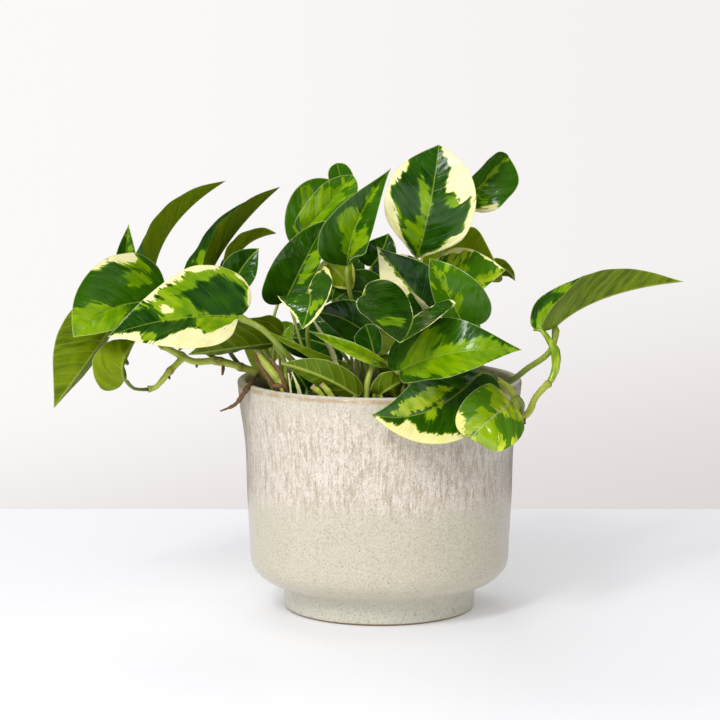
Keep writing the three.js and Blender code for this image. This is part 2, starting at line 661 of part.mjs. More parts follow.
const prepared = leaves.map(preparedLeaf);
const vineSolids = {};
const vineHoles = {};
for (const vine of vines) {
  const whole = tube(vine.path, vine.radii, vineSides, vineStep);
  vineHoles[vine.name] = tube(vine.path, vine.radii, vineSides, vineStep, clearance);
  vineSolids[vine.name] = vine.joins ? whole.subtract(vineHoles[vine.joins]) : whole;
}
let soil = lathe([
  ...insideProfile(clearance).slice(0, -1),
  [soilEdgeRadius, soilTop - 2], [soilEdgeRadius / 2, soilTop + 0.5], [0, soilTop + 1],
], soilSides);
for (const vine of vines) {
  soil = soil.subtract(vineHoles[vine.name]);
}
for (const leaf of prepared) {
  soil = soil.subtract(stalk(leaf, clearance));
}
addPiece('pot', lathe(potProfile(), potSides), colours.stoneware, 0.3);
addPiece('soil', soil, colours.soil, 0.9);
for (const vine of vines) {
  addPiece(vine.name, vineSolids[vine.name], vine.colour || colours.stem, 0.5);
}
for (const leaf of prepared) {
  addPiece(leaf.name, leafSolid(leaf, vineHoles), leaf.colour, 0.4);
}

export default group;
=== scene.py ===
import math
import bpy
import numpy as np
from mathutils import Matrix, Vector


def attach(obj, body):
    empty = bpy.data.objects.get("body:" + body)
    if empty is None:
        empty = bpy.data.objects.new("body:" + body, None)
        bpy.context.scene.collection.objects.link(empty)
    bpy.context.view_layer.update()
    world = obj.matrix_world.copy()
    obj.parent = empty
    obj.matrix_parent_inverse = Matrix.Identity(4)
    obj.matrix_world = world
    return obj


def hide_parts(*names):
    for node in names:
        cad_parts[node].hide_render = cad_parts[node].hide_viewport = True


# Potted pothos: glazed pot, crumbly soil, knotted vines and leaves built half by half from their outlines.
# Lengths in the dictionaries are millimetres; meshes are made in metres, in the CAD model's frame.
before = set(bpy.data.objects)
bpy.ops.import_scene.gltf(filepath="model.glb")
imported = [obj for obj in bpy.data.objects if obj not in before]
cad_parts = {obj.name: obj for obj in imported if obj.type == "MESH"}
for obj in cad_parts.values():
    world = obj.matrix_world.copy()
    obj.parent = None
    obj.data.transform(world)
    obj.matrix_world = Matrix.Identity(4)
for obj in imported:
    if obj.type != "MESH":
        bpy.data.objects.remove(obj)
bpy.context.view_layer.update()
mm = 0.001
tau = 2 * math.pi
pathParts = 24  # how finely a smooth path is drawn between two of its points

bpy.context.scene.view_settings.view_transform = "Standard"


# A socket of a shader or a geometry tree; sums written with it become Math nodes.
class Socket:
    def __init__(self, board, plug):
        self.board = board
        self.plug = plug

    def sum(self, operation, other, flipped=False):
        pair = [other, self] if flipped else [self, other]
        return self.board.node("ShaderNodeMath", {"operation": operation}, pair)

    def __add__(self, other):
        return self.sum("ADD", other)

    def __radd__(self, other):
        return self.sum("ADD", other, True)

    def __sub__(self, other):
        return self.sum("SUBTRACT", other)

    def __rsub__(self, other):
        return self.sum("SUBTRACT", other, True)

    def __mul__(self, other):
        return self.sum("MULTIPLY", other)

    def __rmul__(self, other):
        return self.sum("MULTIPLY", other, True)

    def __truediv__(self, other):
        return self.sum("DIVIDE", other)

    def __rtruediv__(self, other):
        return self.sum("DIVIDE", other, True)

    def least(self, other):
        return self.sum("MINIMUM", other)

    def most(self, other):
        return self.sum("MAXIMUM", other)

    def size(self):
        return self.sum("ABSOLUTE", 0)


# A node tree that nodes are added to.
class Board:
    def __init__(self, tree):
        self.tree = tree
        self.tree.nodes.clear()

    # kind is the node's type; its settings are set first, then its sockets by place or by name
    def node(self, kind, settings=None, sockets=None, output=0):
        made = self.tree.nodes.new(kind)
        for key, value in (settings or {}).items():
            setattr(made, key, value)
        named = sockets.items() if isinstance(sockets, dict) else enumerate(sockets or [])
        for key, value in named:
            if isinstance(value, Socket):
                self.tree.links.new(value.plug, made.inputs[key])
            else:
                made.inputs[key].default_value = value
        return Socket(self, made.outputs[output]) if made.outputs else made

    def mix(self, factor, first, second):
        colours = [c if isinstance(c, Socket) else (*c, 1) for c in (first, second)]
        sockets = {0: factor, 6: colours[0], 7: colours[1]}
        return self.node("ShaderNodeMix", {"data_type": "RGBA"}, sockets, 2)

    # a colour between two paints
    def between(self, factor, pair):
        return self.mix(factor, paint(*pair[0]), paint(*pair[1]))

    # one coat of paint over another where the mask is 1
    def coat(self, mask, under, colour):
        return self.mix(mask, under, paint(*colour))

    # a soft step from 0 at low to 1 at high
    def rise(self, value, low, high):
        settings = {"interpolation_type": "SMOOTHSTEP"}
        return self.node("ShaderNodeMapRange", settings, {0: value, 1: low, 2: high})

    def noise(self, vector, detail=2.0, roughness=0.5):
        sockets = {"Vector": vector, "Scale": 1.0, "Detail": detail, "Roughness": roughness}
        return self.node("ShaderNodeTexNoise", None, sockets)

    # noise fixed to the piece, with so many swells in each metre
    def grain(self, perMetre, detail=2.0, roughness=0.5):
        return self.noise(self.place(perMetre), detail, roughness)

    def cells(self, vector, scale=1.0, output=0):
        return self.node("ShaderNodeTexVoronoi", None, {"Vector": vector, "Scale": scale}, output)

    # a different steady number, from -0.5 to 0.5, in each cell of a net
    def cellShade(self, vector):
        return self.apart(self.cells(vector, output=1))[0] - 0.5

    def attribute(self, name, output=2):
        return self.node("ShaderNodeAttribute", {"attribute_name": name}, None, output)

    def apart(self, vector):
        split = self.node("ShaderNodeSeparateXYZ", None, [vector])
        return [split, Socket(self, split.plug.node.outputs[1]), Socket(self, split.plug.node.outputs[2])]

    def joined(self, x, y, z):
        return self.node("ShaderNodeCombineXYZ", None, [x, y, z])

    def place(self, scale=(1, 1, 1)):
        spot = self.node("ShaderNodeTexCoord", None, None, "Object")
        return self.node("ShaderNodeMapping", None, {"Vector": spot, "Scale": scale})

    def bump(self, height, strength, distance):
        sockets = {"Strength": strength, "Distance": distance, "Height": height}
        return self.node("ShaderNodeBump", None, sockets)

    def finish(self, colour, roughness, normal=None, **constants):
        sockets = {"Base Color": colour, "Roughness": roughness}
        if normal is not None:
            sockets["Normal"] = normal
        for name, value in constants.items():
            sockets[name.replace("_", " ")] = value
        shader = self.node("ShaderNodeBsdfPrincipled", None, sockets)
        self.node("ShaderNodeOutputMaterial", None, {"Surface": shader})


# a paint is written as the red, green and blue of a screen, from 0 to 255
def paint(red, green, blue):
    shares = [v / 255 for v in (red, green, blue)]
    return tuple(v / 12.92 if v <= 0.04045 else ((v + 0.055) / 1.055) ** 2.4 for v in shares)


def newMaterial(name):
    material = bpy.data.materials.new(name)
    material.use_nodes = True
    return material, Board(material.node_tree)


def showPiece(name, mesh):
    piece = bpy.data.objects.new(name, mesh)
    bpy.context.scene.collection.objects.link(piece)
    return piece


# attributes holds one number or vector for each point, and sharp marks the points of creases
def newPiece(name, points, faces, materials, faceMaterials=None, attributes=None, sharp=None):
    mesh = bpy.data.meshes.new(name)
    mesh.from_pydata(np.asarray(points, float).tolist(), [], faces)
    for material in materials:
        mesh.materials.append(material)
    if faceMaterials is not None:
        mesh.polygons.foreach_set("material_index", faceMaterials)
    mesh.polygons.foreach_set("use_smooth", [True] * len(mesh.polygons))
    for key, values in (attributes or {}).items():
        values = np.asarray(values, np.float32)
        if values.ndim == 2:
            mesh.attributes.new(key, "FLOAT_VECTOR", "POINT").data.foreach_set("vector", values.ravel())
        else:
            mesh.attributes.new(key, "FLOAT", "POINT").data.foreach_set("value", values)
    if sharp is not None:
        ends = np.zeros(len(mesh.edges) * 2, int)
        mesh.edges.foreach_get("vertices", ends)
        ends = ends.reshape(-1, 2)
        marks = sharp[ends[:, 0]] & sharp[ends[:, 1]]
        mesh.attributes.new("sharp_edge", "BOOLEAN", "EDGE").data.foreach_set("value", marks)
    mesh.update()
    return showPiece(name, mesh)


# the piece rides on the one body and stands for the CAD nodes, which are hidden
def hold(piece, slot, *nodes):
    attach(piece, "root")
    if nodes:
        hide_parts(*nodes)


def unit(vectors):
    return vectors / np.maximum(np.linalg.norm(vectors, axis=-1, keepdims=True), 1e-12)


# How far along a path each of its points is.
def pathLengths(path):
    return np.concatenate([[0], np.cumsum(np.linalg.norm(np.diff(path, axis=0), axis=1))])


# A smooth path through a few points, at even steps: centripetal, so it never loops between close points.
def smoothPath(points, step):
    spots = np.array(points, float)
    if len(spots) == 2:
        count = max(2, int(np.linalg.norm(spots[1] - spots[0]) / step))
        return spots[0] + np.linspace(0, 1, count + 1)[:, None] * (spots[1] - spots[0])
    spots = np.vstack([2 * spots[0] - spots[1], spots, 2 * spots[-1] - spots[-2]])
    knots = np.concatenate([[0], np.cumsum(np.linalg.norm(np.diff(spots, axis=0), axis=1) ** 0.5)])
    rows = []
    for i in range(1, len(spots) - 2):
        t = np.linspace(knots[i], knots[i + 1], pathParts, endpoint=False)[:, None]
        k0, k1, k2, k3 = knots[i - 1:i + 3]
        a1 = ((k1 - t) * spots[i - 1] + (t - k0) * spots[i]) / (k1 - k0)
        a2 = ((k2 - t) * spots[i] + (t - k1) * spots[i + 1]) / (k2 - k1)
        a3 = ((k3 - t) * spots[i + 1] + (t - k2) * spots[i + 2]) / (k3 - k2)
        b1 = ((k2 - t) * a1 + (t - k0) * a2) / (k2 - k0)
        b2 = ((k3 - t) * a2 + (t - k1) * a3) / (k3 - k1)
        rows.append(((k2 - t) * b1 + (t - k1) * b2) / (k2 - k1))
    fine = np.vstack(rows + [spots[-2:-1]])
    run = pathLengths(fine)
    count = max(3, int(run[-1] / step))
    even = np.linspace(0, run[-1], count + 1)
    return np.stack([np.interp(even, run, fine[:, k]) for k in range(3)], 1)


# Faces that join rings of points, and close both ends on one point each, listed after the rings.
def ringFaces(rings, sides, inward=False):
    faces = []
    first, last, top = rings * sides, rings * sides + 1, (rings - 1) * sides
    around = [(j, (j + 1) % sides) for j in range(sides)]
    if inward:
        around = [(k, j) for j, k in around]
    for i in range(rings - 1):
        for j, k in around:
            faces.append((i * sides + j, i * sides + k, (i + 1) * sides + k, (i + 1) * sides + j))
    for j, k in around:
        faces.append((first, k, j))
        faces.append((last, top + j, top + k))
    return faces


# A closed tube along a path; radii has one value for each of its rings, and flat squashes them.
def tube(path, radii, sides, flat=1.0):
    tangents = unit(np.gradient(path, axis=0))
    side = unit(np.cross(tangents[0], (0.3, 0.2, 1.0)))
    points = []
    angles = np.arange(sides) / sides * tau
    for centre, tangent, radius in zip(path, tangents, radii):
        side = unit(side - tangent * (side @ tangent))
        other = np.cross(tangent, side)
        ring = np.cos(angles)[:, None] * side + flat * np.sin(angles)[:, None] * other
        points.append(centre + radius * ring)
    return np.vstack(points + [path[:1], path[-1:]]), ringFaces(len(path), sides)


# Which ring of a tube each of its points is on.
def ringNumbers(rings, sides):
    return np.append(np.repeat(np.arange(rings), sides), [0, rings - 1])


# A value along a path, from a few evenly spaced ones.
def spread(values, run):
    return np.interp(run / run[-1], np.linspace(0, 1, len(values)), values)


# A curve that starts and ends on the outer two of four points and leans to the inner two.
def bezier(points, t):
    p = np.array(points, float)
    t = t[:, None]
    return (1 - t) ** 3 * p[0] + 3 * (1 - t) ** 2 * t * p[1] + 3 * (1 - t) * t ** 2 * p[2] + t ** 3 * p[3]


# Signed distance to an outline, positive inside it, for many points at once.
def insideOutline(points, outline):
    starts = np.array(outline, float)
    ends = np.roll(starts, -1, axis=0)
    nearest = np.full(len(points), 1e9)
    inside = np.zeros(len(points), bool)
    for a, b in zip(starts, ends):
        run = b - a
        share = np.clip(((points - a) @ run) / max(run @ run, 1e-12), 0, 1)
        nearest = np.minimum(nearest, np.linalg.norm(points - a - share[:, None] * run, axis=1))
        crosses = (a[1] > points[:, 1]) != (b[1] > points[:, 1])
        slope = run[0] / run[1] if abs(run[1]) > 1e-12 else 0
        inside ^= crosses & (points[:, 0] < a[0] + (points[:, 1] - a[1]) * slope)
    return np.where(inside, nearest, -nearest)


# the camera stands where the photographer is taken to have stood; places are in millimetres
camera = {"place": (-11, -1500, 345), "downDegrees": 7.75, "lens": 134.3, "sensor": 36, "farEnd": 20000}
lens = bpy.data.cameras.new("camera")
lens.lens = camera["lens"]
lens.sensor_width = camera["sensor"]
lens.clip_end = camera["farEnd"] * mm
cameraObject = showPiece("camera", lens)
cameraObject.location = [v * mm for v in camera["place"]]
cameraObject.rotation_euler = (math.radians(90 - camera["downDegrees"]), 0, 0)
bpy.context.scene.camera = cameraObject


# the table glows, painted light that stands in for the light a white room sends back up from it: by distance
# towards the camera, and by distance from the middle of the pot, where a painted shadow dims it round the
# foot, in metres
table = {
    "halfWidth": 1600, "front": -1900, "back": 291, "thick": 30, "rounding": 4,
    "colour": (214, 214, 219), "darker": 0.97, "roughness": 0.5,
    "glow": 1.0, "farGlow": 0.25, "nearGlow": 0.36, "farToNear": (0.3, -0.5),
    "footShadowGlow": 0.24, "shaded": (0.052, 0.11),
}


def buildTable():
    x, front, back, low = table["halfWidth"], table["front"], table["back"], -table["thick"]
    plan = ((-x, front), (x, front), (x, back), (-x, back))
    corners = [(u * mm, v * mm, w * mm) for w in (low, 0) for u, v in plan]
    faces = [(3, 2, 1, 0), (4, 5, 6, 7), (0, 1, 5, 4), (1, 2, 6, 5), (2, 3, 7, 6), (3, 0, 4, 7)]
    material, board = newMaterial("paleTable")
    clouds = board.grain((9, 42, 9), 4)
    paleTone = paint(*table["colour"])
    colour = board.mix(clouds, paleTone, tuple(table["darker"] * c for c in paleTone))
    # the glow is painted light on the table, brighter towards the camera
    far, near, foot = [(table[key],) * 3 for key in ("farGlow", "nearGlow", "footShadowGlow")]
    x, y, z = board.apart(board.place())
    glow = board.mix(board.rise(y, *table["farToNear"]), far, near)
    # round the pot's foot the glow drops to a painted shadow
    reach = board.node("ShaderNodeVectorMath", {"operation": "LENGTH"}, [board.joined(x, y, 0)], 1)
    glow = board.mix(board.rise(reach, *table["shaded"]), foot, glow)
    board.finish(colour, table["roughness"] + 0.06 * clouds, Emission_Color=glow,
                 Emission_Strength=table["glow"])
    slab = newPiece("table", corners, faces, [material])
    for face in slab.data.polygons:
        face.use_smooth = False
    edge = slab.modifiers.new("rounding", "BEVEL")
    edge.width = table["rounding"] * mm
    edge.segments = 3


# what a straight look sees, how the room lights the plant, and what gloss mirrors;
# the weights are how much each counts from the right, from behind and from above, and a start
wall = {
    "top": ((252, 249, 249), (245, 241, 241)), "low": (222, 216, 214), "sides": (-0.13, 0.13),
    "topSine": -0.115, "lowSine": -0.222, "lean": 0.2, "seen": 1.0,
    "ambient": 0.5, "lightTones": ((0.5, 0.49, 0.49), (1.0, 0.99, 0.97)),
    "lightWeights": (-0.45, -0.3, 0.6, 0.3),
    "mirrored": 0.2, "mirrorTones": ((0.05, 0.05, 0.05), (0.92, 0.93, 0.92)),
    "mirrorWeights": (-0.2, 0.5, 0.7, 0),
}


def buildWorld():
    world = bpy.data.worlds.new("paleWall")
    bpy.context.scene.world = world
    world.use_nodes = True
    board = Board(world.node_tree)
    way = board.node("ShaderNodeTexCoord", None, None, "Generated")
    across, away, up = board.apart(way)

    def toned(key):
        right, behind, above, start = wall[key + "Weights"]
        share = (across * right + away * behind + up * above + start).most(0).least(1)
        return board.mix(share, *wall[key + "Tones"])

    # the backdrop the camera sees is painted darker low down and towards the right: painted shade on the
    # wall
    fade = board.rise(up - across * wall["lean"], wall["lowSine"], wall["topSine"])
    top = board.between(board.rise(across, *wall["sides"]), wall["top"])
    colours = {"ambient": toned("light"), "mirrored": toned("mirror"),
               "seen": board.mix(fade, paint(*wall["low"]), top)}
    room, mirror, backdrop = [
        board.node("ShaderNodeBackground", None, {"Color": colour, "Strength": wall[key]})
        for key, colour in colours.items()]
    straight = board.node("ShaderNodeLightPath", None, None, "Is Camera Ray")
    glossy = board.node("ShaderNodeLightPath", None, None, "Is Glossy Ray")
    indirect = board.node("ShaderNodeMixShader", None, [glossy, room, mirror])
    whole = board.node("ShaderNodeMixShader", None, [straight, indirect, backdrop])
    board.node("ShaderNodeOutputWorld", None, {"Surface": whole})


# a hidden light is left out of the gloss, so that the bright points come from the small light
softLights = {
    "windowLight": {"place": (-850, -2020, 1800), "aim": (0, 0, 120), "size": (2000, 2000), "power": 35,
                    "hidden": True},
    "glintLight": {"place": (-620, -1250, 1250), "aim": (0, 0, 120), "size": (220, 520), "power": 11,
                   "hidden": False},
    "fillLight": {"place": (1100, -1300, 700), "aim": (0, 0, 120), "size": (1000, 1000), "power": 1,
                  "hidden": False},
    "backLight": {"place": (-300, 900, 1000), "aim": (0, 0, 150), "size": (900, 700), "power": 7,
                  "hidden": True},
}


def buildLights():
    for name, light in softLights.items():
        lamp = bpy.data.lights.new(name, "AREA")
        lamp.shape = "RECTANGLE"
        lamp.size, lamp.size_y = [v * mm for v in light["size"]]
        lamp.energy = light["power"]
        holder = showPiece(name, lamp)
        holder.visible_glossy = not light["hidden"]
        spot, aim = Vector(light["place"]) * mm, Vector(light["aim"]) * mm
        holder.location = spot
        holder.rotation_euler = (aim - spot).to_track_quat("-Z", "Y").to_euler()


buildTable()
buildWorld()
buildLights()
print("table, wall and lights are set")


# the pot's turned outline: (radius, height) up the outside, over the lip and down the inside
pot = {
    "sides": 160, "spacing": 2.2, "sway": 0.18, "swayLength": 9, "swayHeights": (24, 120), "oval": 0.12,
    "straightRadius": 50,
    "outside": [(0, 0.9), (48, 0.9), (49.5, 0), (52.4, 0), (53.5, 0.5), (54, 1.8), (54.1, 4), (54.2, 11),
                (54.8, 12.4), (56.2, 13.4), (61, 15.5), (65.3, 17.6), (68.5, 20), (70.7, 22.4), (72.2, 25),
                (73.1, 28.5), (73.5, 33), (74, 44), (74.4, 55), (75, 78), (75.4, 88), (76, 95), (77.1, 104),
                (78.2, 112), (79.2, 120), (79.7, 126)],
    "lip": [(80, 128.5), (79.85, 129.6), (79.2, 130.4), (78.4, 130.85), (77.5, 131), (76.6, 130.85),
            (75.8, 130.4), (75.2, 129.4), (75, 128)],
    "inside": [(73.2, 112), (71, 95), (70, 78), (69.4, 55), (68.5, 33), (66.5, 26), (60, 20.5), (52, 17),
               (0, 16)],
}
# the glaze's paints, and the heights in millimetres over which one of them gives way to the next
glaze = {
    "wallTones": ((196, 191, 171), (207, 200, 181)), "footTones": ((200, 200, 184), (214, 212, 194)),
    "footEnds": (11, 17),
    "groundTones": ((182, 167, 147), (214, 202, 187)), "milk": (232, 225, 216), "dripsBegin": (56, 76),
    "band": (203, 197, 180), "bandBegins": (112, 125),
    # inside the pot the wall is painted in shade, darkest low down
    "insideShadeTones": ((148, 142, 130), (54, 44, 32)), "insideShade": (128, 119),
    "pit": (156, 140, 110), "paleDot": (233, 227, 214),
    "ochre": (178, 148, 106), "ochreBegins": (126.7, 128.4), "ochreEnds": (130.6, 129.4),
    "lipTop": (226, 219, 207), "lipTopBegins": (129.9, 130.8),
    "iron": (152, 126, 84), "ironSize": 560, "fineIron": (124, 102, 68), "fineIronSize": 1150,
    "blue": (104, 118, 120), "blueEnds": (11, 5), "bareClay": (126, 98, 62), "bareEnds": (1.5, 0.7),
    "roughness": 0.26, "bump": 0.35, "depth": 0.0006, "coat": 0.25, "coatRoughness": 0.18,
}


def potMaterial():
    material, board = newMaterial("dripGlaze")
    height = board.apart(board.place())[2] / mm
    # a slow wander round the pot lifts and drops the edges of the glazes
    wander = board.grain((22, 22, 3), 3) - 0.5
    cloud = board.grain((30, 30, 30), 3)
    footEdge = board.rise(height + 3 * wander, *glaze["footEnds"])
    foot, body = board.between(cloud, glaze["footTones"]), board.between(cloud, glaze["wallTones"])
    lower = board.mix(footEdge, foot, body)
    # upper glaze: a pinkish ground under milky vertical drips
    drips = board.grain((420, 420, 75), 2.5, 0.6)
    strands = board.grain((560, 560, 105), 1.5)
    thinStrands = board.grain((1000, 1000, 230), 1)
    fingers = board.grain((300, 300, 20), 2) - 0.5
    ground = board.between(board.rise(drips, 0.35, 0.65), glaze["groundTones"])
    milky = board.rise((strands - 0.5).size(), 0.075, 0.01)
    milky = milky.most(0.7 * board.rise((thinStrands - 0.5).size(), 0.08, 0.01))
    milky = milky * board.rise(drips, 0.22, 0.46)
    upper = board.rise(height + 9 * wander + 26 * fingers, *glaze["dripsBegin"])
    tone = board.mix(upper, lower, board.coat(milky * 0.78, ground, glaze["milk"]))
    # under the rim the drips thin out over a grey-green band
    band = board.rise(height + 8 * wander + 12 * fingers, *glaze["bandBegins"])
    tone = board.coat(band * 0.7, tone, glaze["band"])
    # painted shade: the wall inside the pot is painted darker, and darker still down from the lip
    insideShade = board.rise(height + 4 * wander, *glaze["insideShade"])
    tone = board.mix(board.attribute("insideShare"), tone, board.between(insideShade, glaze["insideShadeTones"]))
    # a fine grain of pits and pale dots runs through all the glazes
    dots = board.grain((1500, 1500, 1100), 2)
    tone = board.coat(board.rise(dots, 0.53, 0.66) * 0.34, tone, glaze["pit"])
    tone = board.coat(board.rise(dots, 0.47, 0.34) * 0.3, tone, glaze["paleDot"])
    # ochre where the glaze breaks below the lip, and a pale line on its top: the glaze's cream, partly a
    # painted highlight
    ochre = board.rise(height + 2.2 * wander, *glaze["ochreBegins"])
    ochre = ochre * board.rise(height, *glaze["ochreEnds"])
    ochre = ochre * board.rise(board.grain((190, 190, 400), 3), 0.26, 0.56)
    tone = board.coat(ochre * 0.72, tone, glaze["ochre"])
    # the pale line on the lip's top is partly a painted highlight
    tone = board.coat(board.rise(height, *glaze["lipTopBegins"]) * 0.7, tone, glaze["lipTop"])
    # iron specks, and blue ones on the foot
    iron = board.rise(board.cells(board.place(), glaze["ironSize"]), 0.34, 0.12)
    iron = iron * board.rise(board.grain((90, 90, 60), 2), 0.3, 0.55)
    tone = board.coat(iron * 0.5, tone, glaze["iron"])
    fineIron = board.rise(board.cells(board.place(), glaze["fineIronSize"]), 0.32, 0.12)
    fineIron = fineIron * board.rise(board.grain((160, 160, 120), 2), 0.42, 0.6)
    tone = board.coat(fineIron * 0.5, tone, glaze["fineIron"])
    blue = board.rise(board.grain((300, 300, 420), 2), 0.6, 0.72) * board.rise(height, *glaze["blueEnds"])
    tone = board.coat(blue * 0.6, tone, glaze["blue"])
    bare = board.rise(height + 0.5 * wander, *glaze["bareEnds"])
    tone = board.coat(bare, tone, glaze["bareClay"])
    roughness = glaze["roughness"] + 0.1 * drips + 0.35 * bare
    relief = 0.5 * milky * upper + 0.25 * cloud - 0.35 * iron
    board.finish(tone, roughness, board.bump(relief, glaze["bump"], glaze["depth"]),
                 Coat_Weight=glaze["coat"], Coat_Roughness=glaze["coatRoughness"])
    return material


def buildPot():
    profile = np.array(pot["outside"] + pot["lip"] + pot["inside"], float)
    # extra points divide the long stretches evenly
    rows = [profile[:1]]
    for a, b in zip(profile[:-1], profile[1:]):
        pieces = max(1, int(np.linalg.norm(b - a) / pot["spacing"]))
        rows.append(a + (b - a) * (np.arange(1, pieces + 1) / pieces)[:, None])
    insideRings = sum(len(row) for row in rows[-len(pot["inside"]):]) - 1
    profile = np.vstack(rows)
    sides = pot["sides"]
    angles = np.arange(sides) / sides * tau
    points = []
    low, high = pot["swayHeights"]
    for radius, height in profile[1:-1]:
        # the pot is hand finished: its wall breathes by a fraction of a millimetre
        sway = pot["sway"] * math.sin(height / pot["swayLength"]) * min(1, radius / pot["straightRadius"])
        oval = pot["oval"] * np.cos(2 * angles + 0.7) * (radius > pot["straightRadius"])
        r = radius + sway * (low < height < high) + oval
        points.append(np.stack([r * np.cos(angles), r * np.sin(angles), np.full(sides, height)], 1))
    rings = len(points)
    points = np.vstack(points + [[[0, 0, profile[0, 1]], [0, 0, profile[-1, 1]]]])
    insideRows = np.arange(rings) >= rings - insideRings
    share = np.append(np.repeat(insideRows, sides), [False, True])
    faces = ringFaces(rings, sides)
    piece = newPiece("glazedPot", points * mm, faces, [potMaterial()], None, {"insideShare": share})
    hold(piece, "glazed_stoneware", "pot")


buildPot()
print("pot is turned")


# a lumpy bed, with crumbs and grit scattered on it
soil = {
    "radius": 72.3, "bottom": 80, "top": 110.6, "highest": 112.6, "floorInset": 3, "rings": 34, "sides": 120,
    "lumpSize": 0.3, "lumpWaves": 24, "lumpRates": (0.05, 0.35), "seed": 4,
    "edgeDip": 2.5, "edgeSteepness": 12, "crowding": 0.8,
    "scattered": {
        "soilCrumbs": {"count": 2600, "size": 1.5, "seed": 3},
        "soilGrit": {"count": 150, "size": 1.3, "seed": 8},
    },
    "levelEnough": 0.6, "stoneShares": ((0.35, 0.35, 0.3), (1.1, 1.1, 0.9)),
    "earthTones": ((30, 21, 15), (82, 62, 45)), "fibre": (118, 88, 58),
    "gritTones": ((176, 170, 158), (222, 218, 208)),
}


def soilMaterial():
    material, board = newMaterial("pottingMix")
    clump = board.grain((160, 160, 160), 5, 0.65)
    fibre = board.grain((700, 260, 700), 3)
    tone = board.between(clump, soil["earthTones"])
    tone = board.coat(board.rise(fibre, 0.58, 0.72) * 0.6, tone, soil["fibre"])
    board.finish(tone, 0.92, board.bump(clump, 0.9, 0.001))
    return material


def gritMaterial():
    material, board = newMaterial("perlite")
    pores = board.grain((900, 900, 900), 3)
    board.finish(board.between(pores, soil["gritTones"]), 0.85, board.bump(pores, 0.6, 0.0004))
    return material


# Tree: points on the bed's upward faces, a small rough stone on each, turned and sized at random.
def scatterTree(name, material):
    tree = bpy.data.node_groups.new(name, "GeometryNodeTree")
    for label, kind in (("Geometry", "NodeSocketGeometry"), ("Count per m2", "NodeSocketFloat"),
                        ("Size", "NodeSocketFloat"), ("Seed", "NodeSocketInt")):
        tree.interface.new_socket(label, in_out="INPUT", socket_type=kind)
    tree.interface.new_socket("Geometry", in_out="OUTPUT", socket_type="NodeSocketGeometry")
    board = Board(tree)

    def given(label):
        return board.node("NodeGroupInput", None, None, label)

    def chance(low, high):
        return board.node("FunctionNodeRandomValue", {"data_type": "FLOAT_VECTOR"},
                          {0: low, 1: high, "Seed": given("Seed")})

    flatness = board.apart(board.node("GeometryNodeInputNormal"))[2]
    facesUp = board.node("FunctionNodeCompare", {"operation": "GREATER_THAN"},
                         {0: flatness, 1: soil["levelEnough"]})
    spots = board.node("GeometryNodeDistributePointsOnFaces", None,
                       {"Mesh": given("Geometry"), "Selection": facesUp, "Density": given("Count per m2"),
                        "Seed": given("Seed")})
    stone = board.node("GeometryNodeMeshIcoSphere", None, {"Radius": 1.0, "Subdivisions": 1})
    turn = chance((0, 0, 0), (tau, tau, tau))
    stretch = chance(*soil["stoneShares"])
    scaled = board.node("ShaderNodeVectorMath", {"operation": "SCALE"},
                        {0: stretch, "Scale": given("Size")})
    placed = board.node("GeometryNodeInstanceOnPoints", None,
                        {"Points": spots, "Instance": stone, "Rotation": turn, "Scale": scaled})
    whole = board.node("GeometryNodeRealizeInstances", None, [placed])
    named = board.node("GeometryNodeSetMaterial", None, {"Geometry": whole, "Material": material})
    board.node("NodeGroupOutput", None, {"Geometry": named})
    return tree


# A plain mesh of what the tree makes on a copy of the source.
def runTree(name, source, tree, values):
    holder = showPiece(name + "Source", source.data.copy())
    modifier = holder.modifiers.new("scatter", "NODES")
    modifier.node_group = tree
    keys = {item.name: item.identifier for item in tree.interface.items_tree if item.in_out == "INPUT"}
    for label, value in values.items():
        modifier[keys[label]] = value
    graph = bpy.context.evaluated_depsgraph_get()
    mesh = bpy.data.meshes.new_from_object(holder.evaluated_get(graph))
    mesh.name = name
    bpy.data.objects.remove(holder)
    return showPiece(name, mesh)


def buildSoil():
    rings, sides, radius = soil["rings"], soil["sides"], soil["radius"]
    rng = np.random.default_rng(soil["seed"])
    angles = np.arange(sides) / sides * tau
    waves = []
    for wave in range(soil["lumpWaves"]):
        rate, way, phase = rng.uniform(*soil["lumpRates"]), rng.uniform(0, tau), rng.uniform(0, tau)
        waves.append((rate, way, phase, rng.uniform(0.2, 1)))

    def height(x, y):
        total = sum(size * np.sin(rate * (x * math.cos(way) + y * math.sin(way)) + phase)
                    for rate, way, phase, size in waves)
        return soil["top"] + soil["lumpSize"] * total

    def ring(r, heights):
        return np.stack([r * np.cos(angles), r * np.sin(angles), heights], 1)

    points = []
    for share in np.arange(1, rings + 1) / rings:
        r = radius * share ** soil["crowding"]
        lumpy = np.minimum(height(r * np.cos(angles), r * np.sin(angles)), soil["highest"])
        points.append(ring(r, lumpy - soil["edgeDip"] * share ** soil["edgeSteepness"]))
    points.append(ring(radius - soil["floorInset"], np.full(sides, soil["bottom"])))
    points = np.vstack(points + [[[0, 0, float(height(0, 0))], [0, 0, soil["bottom"]]]])
    earth = soilMaterial()
    bed = newPiece("soilBed", points * mm, ringFaces(rings + 1, sides, inward=True), [earth])
    area = math.pi * (radius * mm) ** 2
    skins = {"soilCrumbs": earth, "soilGrit": gritMaterial()}
    for name, stones in soil["scattered"].items():
        values = {"Count per m2": stones["count"] / area, "Size": stones["size"] * mm,
                  "Seed": stones["seed"]}
        tree = scatterTree(name + "Tree", skins[name])
        hold(runTree(name, bed, tree, values), "potting_soil")
    hold(bed, "potting_soil", "soil")


buildSoil()
print("soil is filled")


